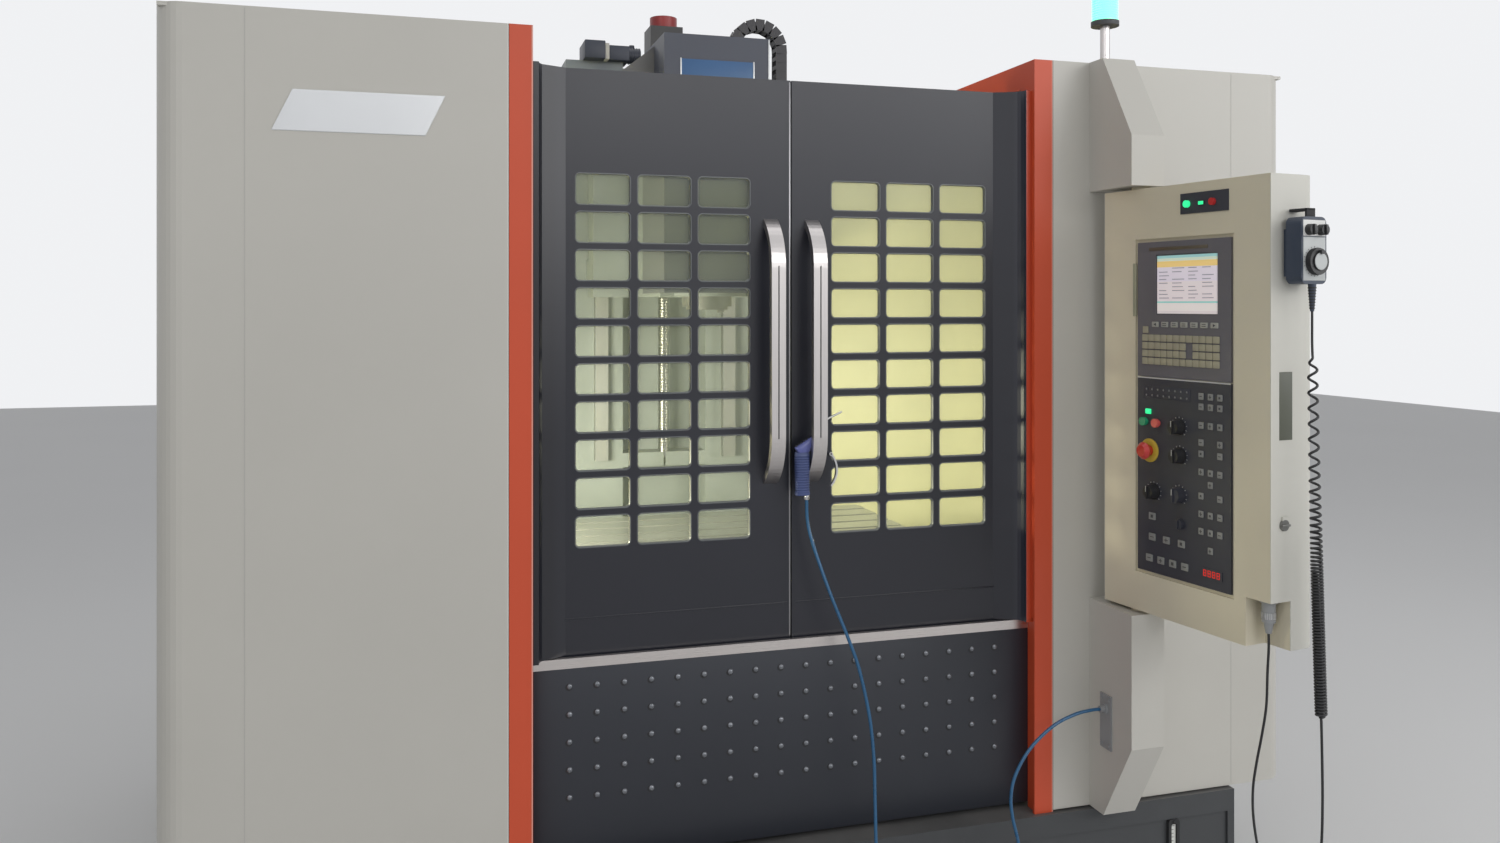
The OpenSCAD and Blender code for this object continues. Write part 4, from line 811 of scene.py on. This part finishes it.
chain_links = chain_tree()
CHAIN_X, CHAIN_R, CHAIN_Y, CHAIN_ARCH = 0.320, 0.085, FRONT + 1.450 - 0.0275, 2.457
arch = [(CHAIN_X - CHAIN_R, CHAIN_Y, 2.185 + 0.272 * k / 8) for k in range(8)]
arch += [(CHAIN_X - CHAIN_R * math.cos(a), CHAIN_Y, CHAIN_ARCH + CHAIN_R * math.sin(a))
         for a in (math.pi * k / 16 for k in range(17))]
arch += [(CHAIN_X + CHAIN_R, CHAIN_Y, CHAIN_ARCH - 0.377 * k / 10) for k in range(1, 11)]
curve = bpy.data.curves.new("chain_run", "CURVE")
curve.dimensions = "3D"
run = curve.splines.new("POLY")
run.points.add(len(arch) - 1)
for p, q in zip(run.points, arch):
    p.co = (*q, 1)
chain_black = coated("chain_black", (0.042, 0.040, 0.046), 0.45, cloud=0.1, scale=20, dust=0.15)
links_mesh = made_by(chain_links, curve, "chain", {
    "Links": 30, "Link Length": 0.0305, "Width": 0.055, "Height": 0.040, "Material": chain_black})
places = [v.co.copy() for v in links_mesh.vertices]


def leg_of(k):
    """The leg that a vertex lies in, by the middle of its box of 8 vertices."""
    centre = sum(places[k // 8 * 8:k // 8 * 8 + 8], Vector()) / 8
    return "loop" if centre.z > CHAIN_ARCH else "head_leg" if centre.x < CHAIN_X else "column_leg"


# As the head goes down, its leg grows, the loop sinks and the column's leg shortens; here the links are
# only cut into these three legs.
for leg, start, end in (
    ("head_leg", (CHAIN_X, CHAIN_Y, 2.185), (CHAIN_X, CHAIN_Y, 2.6383)),
    ("loop", (CHAIN_X, CHAIN_Y - 60, 2.5), (CHAIN_X, CHAIN_Y + 40, 2.5)),
    ("column_leg", (CHAIN_X, CHAIN_Y, 3.0225), (CHAIN_X, CHAIN_Y, 2.08)),
):
    bm = bmesh.new()
    bm.from_mesh(links_mesh)
    bmesh.ops.delete(bm, geom=[v for v in bm.verts if leg_of(v.index) != leg], context="VERTS")
    chain = object_of(bm, "energy_chain_" + leg, chain_black)
    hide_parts("cable_chain")
    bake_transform(chain)


# ---- Pendant box ----
# A folded steel box in beige-gray paint, hung on its swivel tube; its face and its sides take two tones
# of the one paint, painted light and shade. A dark plate and a latch sit on its narrow side, and the
# plug of the hand-wheel's lead goes in at the notch.
def on_pendant(bm, name, material, body="pendant"):
    """A piece that is given in the pendant's frame."""
    return piece(bm, name, material, body, pendant_frame)


pendant_paint = coated("pendant_paint", (0.345, 0.315, 0.245), cloud=0.04, scale=2.0, depth=0.12, dust=0.15)
dress(pendant_paint, "pendant_box")
tree = pendant_paint.node_tree
where = on_object(tree)
home = pendant_frame.inverted()
sides_painted_light = 0.0
# painted light and shade: the right side, the left side and all behind the rounded edges take another tone
# than the face
for row, sign, beyond in ((0, 1, 0.4885), (0, -1, -0.0015), (1, 1, 0.070)):
    along = add_node(tree, "ShaderNodeVectorMath", {0: where, 1: tuple(sign * v for v in home[row][:3])},
                     operation="DOT_PRODUCT")
    past = math_node(tree, "GREATER_THAN", along.outputs["Value"], beyond - sign * home[row][3])
    sides_painted_light = math_node(tree, "MAXIMUM", sides_painted_light, past)
recolour(pendant_paint, mix_colour(tree, sides_painted_light, (0.70, 0.645, 0.50), (0.62, 0.61, 0.555)))
side_green = coated("side_plate_green", (0.105, 0.112, 0.085), cloud=0.06, scale=9)
on_pendant(boxes(((0.4887, 0.0243, 1.2643), (0.4903, 0.0617, 1.4057), 0.0004)), "side_plate", side_green)

# A turn latch low on the narrow side, and a thin cover strip beside the screen
latch_gray = coated("latch_gray", (0.20, 0.20, 0.19), 0.35, metallic=0.6, cloud=0.06, scale=20)
bm = bmesh.new()
add_rod(bm, (0.4898, 0.037, 1.088), (0.4945, 0.037, 1.088), 0.0125, 0.0115, sides=32)
add_box(bm, (0.4940, 0.0255, 1.0855), (0.4985, 0.0485, 1.0905), 0.0012)
on_pendant(bm, "side_latch", latch_gray)
strip_olive = coated("strip_olive", (0.34, 0.345, 0.25), 0.42, cloud=0.03, scale=6)
on_pendant(boxes(((0.0975, -0.0016, 1.518), (0.1085, 0.0004, 1.643), 0.0006)), "slot_cover", strip_olive)


# ---- Screen and keys ----
# The screen unit is a black moulded bezel with a colour display, a row of soft keys and a field of
# beige key caps. A white line parts it from the machine's own operator panel.
panel_dark = coated("panel_dark", (0.042, 0.044, 0.058), scale=10, depth=0.15)
dress(coated("bezel_gray", (0.145, 0.140, 0.158), 0.42, scale=10, depth=0.15), "screen_unit")
dress(panel_dark, "operator_panel")
# the two rows of signal dots stand on one membrane strip
on_pendant(boxes(((0.134, -0.0011, 1.328), (0.2735, 0.0002, 1.356), 0.0003)), "dot_strip", panel_dark)
display, tree, shader = plain_material("display")
bands = add_node(tree, "ShaderNodeValToRGB", {"Fac": remap(tree, along_object(tree, "Z"), (1.525, 1.658))})
ramp = bands.color_ramp
ramp.interpolation = "CONSTANT"
for k, (at, colour) in enumerate((
        (0.0, (0.72, 0.66, 0.66)), (0.05, (0.80, 0.74, 0.72)), (0.18, (0.30, 0.62, 0.58)),
        (0.21, (0.78, 0.70, 0.72)), (0.55, (0.74, 0.68, 0.76)), (0.80, (0.86, 0.62, 0.24)),
        (0.90, (0.62, 0.72, 0.60)), (0.95, (0.35, 0.62, 0.62)))):
    stop = ramp.elements[k] if k < 2 else ramp.elements.new(at)
    stop.position, stop.color = at, (*colour, 1)
fill(tree, shader, {"Base Color": bands, "Emission Color": bands, "Emission Strength": 0.36,
                    "Roughness": 0.15})
dress(display, "screen")
display_line = coated("display_line", (0.42, 0.40, 0.48), 0.3, cloud=0.02, dust=0.0)
COLUMNS = ((0.006, 0.036), (0.046, 0.082), (0.094, 0.122), (0.134, 0.166))
bm = boxes(*(((0.173 + a, 0.00055, 1.560 + r * 0.0085),
              (0.173 + b - 0.004 * ((r + c) % 3), 0.0009, 1.5617 + r * 0.0085))
             for r in range(9) for c, (a, b) in enumerate(COLUMNS) if (r * 3 + c) % 5 != 4))
on_pendant(bm, "display_rows", display_line)


def grid_on_pendant(bm, name, material, counts, pitches, centre):
    grid_of(bm, name, material, "pendant", counts, pitches, centre, pendant_frame)


key_beige = coated("key_beige", (0.40, 0.375, 0.275), 0.5, cloud=0.06, scale=30)
FIELD_X, FIELD_Z, KEY_W, KEY_H = 0.130 + 0.00775, 1.408 + 0.0065, 0.0192, 0.018
for word, first, columns, rows in (("left", 0, 7, 4), ("right", 8, 4, 4), ("gap", 7, 1, 2)):
    centre = (FIELD_X + (first + (columns - 1) / 2) * KEY_W, 0.0, FIELD_Z + 1.5 * KEY_H)
    grid_on_pendant(boxes(((-0.0089, -0.0032, -0.0077), (0.0089, 0.0002, 0.0077), 0.0012)),
                    "key_field_" + word, key_beige, (columns, rows), (KEY_W, 3 * KEY_H / (rows - 1)), centre)
key_gray = coated("key_gray", (0.40, 0.40, 0.36), 0.45, scale=30)
SOFT_X, SOFT_Z, SOFT_PITCH = 0.170, 1.500, 0.029
grid_on_pendant(boxes(((-0.0102, -0.0034, -0.0062), (0.0102, 0.0002, 0.0062), 0.0012)), "soft_keys",
                key_gray, (7, 1), (SOFT_PITCH, 0.01), (SOFT_X + 3 * SOFT_PITCH, 0.0, SOFT_Z))
on_pendant(boxes(((0.1305, -0.0030, 1.4795), (0.1472, 0.0002, 1.4950), 0.0012)), "reset_key", key_beige)
# a generic sign on each soft key: an arrow head at both ends, bars between
bm = bmesh.new()
for k in range(7):
    x = SOFT_X + SOFT_PITCH * k
    if k in (0, 6):
        aim = (Matrix.Translation((x, -0.0036, SOFT_Z))
               @ Matrix.Rotation(math.radians(90 if k else -90), 4, "Y"))
        arrow = [bm.verts.new(aim @ Vector((a, y, b)))
                 for y in (0.0, 0.0004) for a, b in ((-0.0035, -0.003), (0.0035, -0.003), (0, 0.004))]
        for f in ((0, 1, 2), (3, 5, 4), (0, 3, 4, 1), (1, 4, 5, 2), (2, 5, 3, 0)):
            bm.faces.new([arrow[j] for j in f])
    else:
        for b in (-0.0022, 0.0022):
            add_box(bm, (x - 0.0055, -0.0037, SOFT_Z + b - 0.0007),
                    (x + 0.0055, -0.0032, SOFT_Z + b + 0.0007))
on_pendant(bm, "soft_key_signs", panel_dark)
# the bare strip above the display
strip_brass = coated("strip_brass", (0.16, 0.135, 0.10), 0.35, metallic=0.5, cloud=0.08, scale=14, dust=0.03)
on_pendant(boxes(((0.149, -0.0012, 1.6705), (0.324, 0.0004, 1.6780), 0.0004)), "bezel_strip", strip_brass)
line_white = coated("line_white", (0.62, 0.62, 0.60), cloud=0.02, dust=0.0)
on_pendant(boxes(((0.1125, -0.0006, 1.3738), (0.3865, 0.0004, 1.3766))), "panel_divider", line_white)


# ---- Operator panel ----
# A membrane panel with rows of small lamps, square keys with pale caps, four selector knobs with a
# white pointer, lit start and hold keys, and a red stop mushroom in its yellow collar.
cap_pale = coated("cap_pale", (0.27, 0.275, 0.265), 0.45, scale=30, dust=0.02)
icon_dark = coated("icon_dark", (0.06, 0.06, 0.065), 0.5, cloud=0.02, dust=0.0)
KEY_ROWS = ((1343, (0, 1, 2)), (1320, (0, 1, 2)), (1279, (0, 1, 2)), (1241, (0, 2)), (1216, (0, 2)),
            (1176, (0, 1, 2)), (1150, (1,)), (1123, (0, 2)), (1083, (0, 1, 2)), (1045, (0, 1, 2)),
            (1006, (1,)))
WIDE_KEYS = ((160, 1054), (160, 1006), (204, 1006), (249, 1006), (151, 956), (187, 956), (223, 956),
             (259, 956))
keys = [(0.29950 + 0.00675 + 0.0262 * c, z / 1000, 0.0069, 0.0072)
        for z, columns in KEY_ROWS for c in columns]
keys += [(x / 1000, z / 1000, 0.0102, 0.0082) for x, z in WIDE_KEYS]
on_pendant(boxes(*(((x - w, -0.0030, z - h), (x + w, 0.0002, z + h), 0.0010) for x, z, w, h in keys)),
           "key_caps", cap_pale)
icons = bmesh.new()
for i, (x, z, w, h) in enumerate(keys):
    # a small raised sign on each cap: a bar, a cross or a square, in turn
    if i % 3 != 2:
        add_box(icons, (x - w * 0.5, -0.0033, z - 0.0009), (x + w * 0.5, -0.0029, z + 0.0009))
    if i % 3 == 1:
        add_box(icons, (x - 0.0009, -0.0034, z - h * 0.55), (x + 0.0009, -0.0029, z + h * 0.55))
    if i % 3 == 2:
        add_box(icons, (x - w * 0.35, -0.0033, z - w * 0.35), (x + w * 0.35, -0.0029, z + w * 0.35))
on_pendant(icons, "key_signs", icon_dark)
lamp_gray = coated("lamp_gray", (0.22, 0.22, 0.23), 0.3, cloud=0.03, dust=0.0)
bm = bmesh.new()
add_rod(bm, (0, 0.0002, 0), (0, -0.0022, 0), 0.0032, 0.0024, sides=12)
grid_on_pendant(bm, "lamp_rows", lamp_gray, (8, 2), (0.0176, 0.014), (0.142 + 3.5 * 0.0176, 0.0, 1.342))


def lit(name, colour, glow):
    return glowing(coated(name, colour, 0.2, cloud=0.02, dust=0.0, coat=0.3), colour, glow)


lit_green = lit("lit_green", (0.03, 0.75, 0.28), 1.0)
on_pendant(boxes(((0.141, -0.0052, 1.291), (0.156, 0.0, 1.303), 0.0012),
                 ((0.3005, -0.0056, 1.7665), (0.3155, -0.002, 1.7745), 0.0010)),
           "lit_keys", lit_green)
dress(lit_green, "power_on_button")
dress(lit("start_green", (0.02, 0.28, 0.14), 0.12), "start_button")
dress(lit("hold_red", (0.62, 0.10, 0.09), 0.12), "hold_button")
dress(lit("power_red", (0.50, 0.03, 0.03), 0.10), "power_off_button")
dress(coated("stop_red", (0.62, 0.025, 0.02), 0.28, cloud=0.03, dust=0.02, coat=0.4), "estop_button")
collar_yellow = coated("collar_yellow", (0.62, 0.44, 0.05), cloud=0.04, dust=0.02)
RING_OUT, RING_IN = 0.0275, 0.0128
bm = bmesh.new()
skin(bm, [[bm.verts.new((0.151 + r * math.cos(t), y, 1.206 + r * math.sin(t))) for t in turn(48)]
          for r, y in ((RING_OUT, 0.0), (RING_OUT, -0.0022), (RING_OUT - 0.0012, -0.0030), (RING_IN, -0.0030),
                       (RING_IN, 0.0))], closed=True)
on_pendant(bm, "stop_collar", collar_yellow)


def around(centre, axis, angles, lo, hi, bevel=0.0, segments=2):
    """The same box at each angle round an axis through the centre."""
    return boxes(*((lo, hi, bevel, Matrix.Translation(centre) @ Matrix.Rotation(a, 4, axis), segments)
                   for a in angles))


knob_black = coated("knob_black", (0.022, 0.022, 0.024), 0.36, scale=30, dust=0.03)
dress(knob_black, "mode_knob", "feed_knob", "spindle_knob")
for body, x, y, z in (("mode_knob", 0.241, -0.0261, 1.269), ("feed_knob", 0.243, -0.0261, 1.204),
                      ("spindle_knob", 0.164, -0.0261, 1.112), ("pendant", 0.241, -0.0241, 1.115)):
    on_pendant(boxes(((x - 0.0008, y - 0.0004, z + 0.001), (x + 0.0008, y + 0.001, z + 0.0145), 0.0002)),
               body + "_pointer", line_white, body)
    on_pendant(around((x, 0, z), "Y", [math.radians(-135 + 27 * k) for k in range(11)],
                      (-0.0005, -0.0008, 0.0205), (0.0005, 0.0002, 0.0235)),
               body + "_dial_marks", line_white)
digits_red = lit("digits_red", (0.60, 0.03, 0.02), 0.7)
STROKES = (((0.0, 0.0), (0.008, 0.0014)), ((0.0, 0.0063), (0.008, 0.0077)), ((0.0, 0.0126), (0.008, 0.0140)),
           ((0.0, 0.0005), (0.0014, 0.0135)), ((0.0066, 0.0005), (0.008, 0.0135)))
bm = boxes(*(((0.313 + k * 0.0125 + a[0], -0.0026, 0.949 + a[1]),
              (0.313 + k * 0.0125 + b[0], -0.0019, 0.949 + b[1]))
             for k in range(4) for a, b in STROKES))
on_pendant(bm, "digits", digits_red)


# ---- Hand-wheel ----
# A hand-held box of dark blue-gray plastic with a pale face plate, two selectors and a black wheel
# with a gray hub. It hangs by a steel hook and a magnet plate. The strain relief is ribbed rubber.
dress(coated("mpg_blue", (0.040, 0.055, 0.086), 0.38, scale=20, dust=0.08), "handwheel_box")
dress(knob_black, "handwheel")
MX, MY, MZ = 0.540, 0.065, 1.588
face_gray = coated("face_gray", (0.52, 0.54, 0.54), 0.35, cloud=0.03, scale=20, dust=0.04)
face_white = coated("face_white", (0.78, 0.78, 0.76), 0.35, cloud=0.03, scale=20, dust=0.04)
for name, material, low, high in (("wheel_face", face_gray, 0.007, 0.096),
                                  ("selector_face", face_white, 0.098, 0.131)):
    on_pendant(boxes(((MX - 0.0002, MY - 0.032, MZ + low), (MX + 0.0012, MY + 0.032, MZ + high), 0.0005)),
               name, material)
bm = bmesh.new()
for y in (MY - 0.017, MY + 0.017):
    add_rod(bm, (MX + 0.001, y, MZ + 0.111), (MX + 0.0145, y, MZ + 0.111), 0.0115, 0.0112, sides=36)
    add_box(bm, (MX + 0.0135, y - 0.0027, MZ + 0.1005), (MX + 0.0185, y + 0.0027, MZ + 0.1215), 0.0008)
on_pendant(bm, "selectors", knob_black)
WHEEL = (0, MY, MZ + 0.046)
on_pendant(around(WHEEL, "X", turn(20), (MX + 0.0011, -0.0004, 0.0282), (MX + 0.0016, 0.0004, 0.0310)),
           "wheel_scale", black_and_painted_shade)
on_pendant(around(WHEEL, "X", turn(40), (MX + 0.0030, -0.0011, 0.0262), (MX + 0.0125, 0.0011, 0.0277),
                  0.0003, 1), "wheel_grip", knob_black, "handwheel")
bm = bmesh.new()
add_rod(bm, (MX + 0.0162, MY, MZ + 0.046), (MX + 0.0174, MY, MZ + 0.046), 0.0180, 0.0172, sides=48)
on_pendant(bm, "wheel_hub", face_gray, "handwheel")
bm = bmesh.new()
for z in (1.537 + k * 0.006 for k in range(8)):
    add_rod(bm, (0.532, 0.069, z), (0.532, 0.069, z + 0.003), 0.0051 + (z - 1.532) * 0.0714, sides=24)
on_pendant(bm, "strain_ribs", lead_black)
hook_steel = brushed("hook_steel", (0.58, 0.58, 0.58), 0.22, (300, 300, 300))
on_pendant(boxes(*(((x, MY - 0.0122, MZ + z), (0.5332, MY + 0.0122, MZ + 0.1562), 0.0008)
                   for x, z in ((0.4906, 0.1508), (0.5278, 0.1382)))), "hang_hook", black_and_painted_shade)

# The plug: gray moulded body, a knurled ring where it screws in
dress(coated("plug_gray", (0.30, 0.31, 0.32), scale=20), "lead_plug", "air_socket")
on_pendant(around((0.455, 0.034, 0.893), "Z", turn(24), (0.0136, -0.0013, -0.007),
                  (0.0150, 0.0013, 0.007), 0.0004, 1), "plug_ring", hook_steel)


# ---- Air gun ----
# A blow gun of moulded nylon hangs in the right door's handle: an oval ribbed grip, a head that
# passes behind the bar, a bent steel nozzle, and a steel trigger on a pin.
gun_blue = coated("gun_blue", (0.060, 0.085, 0.215), 0.42, cloud=0.10, scale=30, peel=260, depth=0.3)
# the head is a lighter blue than the grip: painted light on its lit side
gun_head_painted_light = coated("gun_head_painted_light", (0.105, 0.125, 0.36), 0.3, cloud=0.06, scale=20, coat=0.2)
gun_dark = coated("gun_dark", (0.014, 0.016, 0.024), 0.5, scale=20, dust=0.03)
GUN_Y = FRONT + 0.02873


def squarish(value):
    return math.copysign(abs(value) ** 0.75, value)


def oval_shell(sections):
    """A closed shell through oval sections, each (centre, half-width vector, half-depth)."""
    bm = bmesh.new()
    skin(bm, [[bm.verts.new(Vector(centre) + Vector(half) * squarish(math.cos(t))
                            + Vector((0, deep, 0)) * squarish(math.sin(t))) for t in turn(36)]
              for centre, half, deep in sections])
    return bm


def grip_section(x, z, half, deep):
    return (x, GUN_Y, z), (half, 0, 0), deep


sections = [grip_section(*row) for row in (
    (0.0156, 1.1015, 0.0165, 0.0105), (0.0156, 1.1028, 0.0178, 0.0115),
    (0.0156, 1.1075, 0.0178, 0.0115), (0.0154, 1.1085, 0.0162, 0.0102))]
for k in range(85):
    t = k / 84
    rib = (0.0007, 0.0007, 0.0003, -0.0011, -0.0011, 0.0003)[k % 6]
    sections.append(grip_section(0.0154 - 0.0009 * t, 1.1095 + 0.0840 * t, 0.0162 + 0.0016 * t + rib,
                                 0.0103 + 0.0010 * t + rib))
sections += [grip_section(0.0145, 1.1960, 0.0176, 0.0112), grip_section(0.0145, 1.2020, 0.0168, 0.0108)]
grip = piece(oval_shell(sections), "gun_grip", gun_blue, "right_door")
lean = math.radians(31)
along, across = Vector((math.cos(lean), 0, math.sin(lean))), Vector((-math.sin(lean), 0, math.cos(lean)))
top_left = Vector((-0.0040, GUN_Y, 1.2134))
sections = [(top_left + along * t - across * drop, across * half, deep) for t, drop, half, deep in (
    (0.000, 0.0090, 0.0060, 0.0060), (0.0015, 0.0105, 0.0105, 0.0090), (0.005, 0.0140, 0.0140, 0.0105),
    (0.016, 0.0150, 0.0150, 0.0105), (0.030, 0.0135, 0.0135, 0.0092), (0.042, 0.0115, 0.0115, 0.0084),
    (0.056, 0.0085, 0.0085, 0.0080), (0.066, 0.0062, 0.0062, 0.0062), (0.072, 0.0050, 0.0050, 0.0050))]
head = piece(oval_shell(sections), "gun_head", gun_head_painted_light, "right_door")
bm = bmesh.new()
add_rod(bm, (0.024, GUN_Y, 1.212), (0.074, GUN_Y, 1.212), 0.0085, sides=32, bevel=0.001)
add_rod(bm, (0.060, GUN_Y, 1.212), (0.0849, GUN_Y, 1.1955), 0.0042, sides=20)
add_rod(bm, (0.0849, GUN_Y - 0.0065, 1.1955), (0.0849, GUN_Y + 0.0025, 1.1955), 0.0018, sides=16)
add_box(bm, (0.0795, GUN_Y + 0.0020, 1.1900), (0.0900, GUN_Y + 0.0050, 1.2030), 0.0008)
for k in range(7):
    p0 = top_left + along * (0.006 + 0.007 * k) + across * 0.0004
    add_box(bm, p0 - Vector((0.0030, 0.0045, 0.0012)), p0 + Vector((0.0030, 0.0045, 0.0014)), 0.0008)
arm = piece(bm, "gun_arm", gun_dark, "right_door")
for made in (grip, head, arm):
    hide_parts("air_gun")
nozzle_path = smooth_route([(x, GUN_Y - off, z) for x, off, z in (
    (0.0560, 0, 1.2490), (0.0620, 0, 1.2580), (0.0700, 0.001, 1.2705), (0.0790, 0.002, 1.2785),
    (0.0950, 0.003, 1.2860), (0.1118, 0.004, 1.2938))], 6)
bm = bmesh.new()
for p0, p1 in zip(nozzle_path, nozzle_path[1:]):
    add_rod(bm, p0, p1 + (p1 - p0) * 0.12, 0.0024, sides=16)
for low, high, radius, sides, bevel in ((1.0910, 1.1016, 0.0062, 24, 0.0008),
                                        (1.0930, 1.0975, 0.0072, 6, 0.0)):
    add_rod(bm, (0.025, FRONT + 0.026, low), (0.025, FRONT + 0.026, high), radius, sides=sides, bevel=bevel)
piece(bm, "gun_nozzle", hook_steel, "right_door")
dress(hook_steel, "gun_trigger")
dress(lead_black, "handwheel_cord", "handwheel_coil", "air_hose")
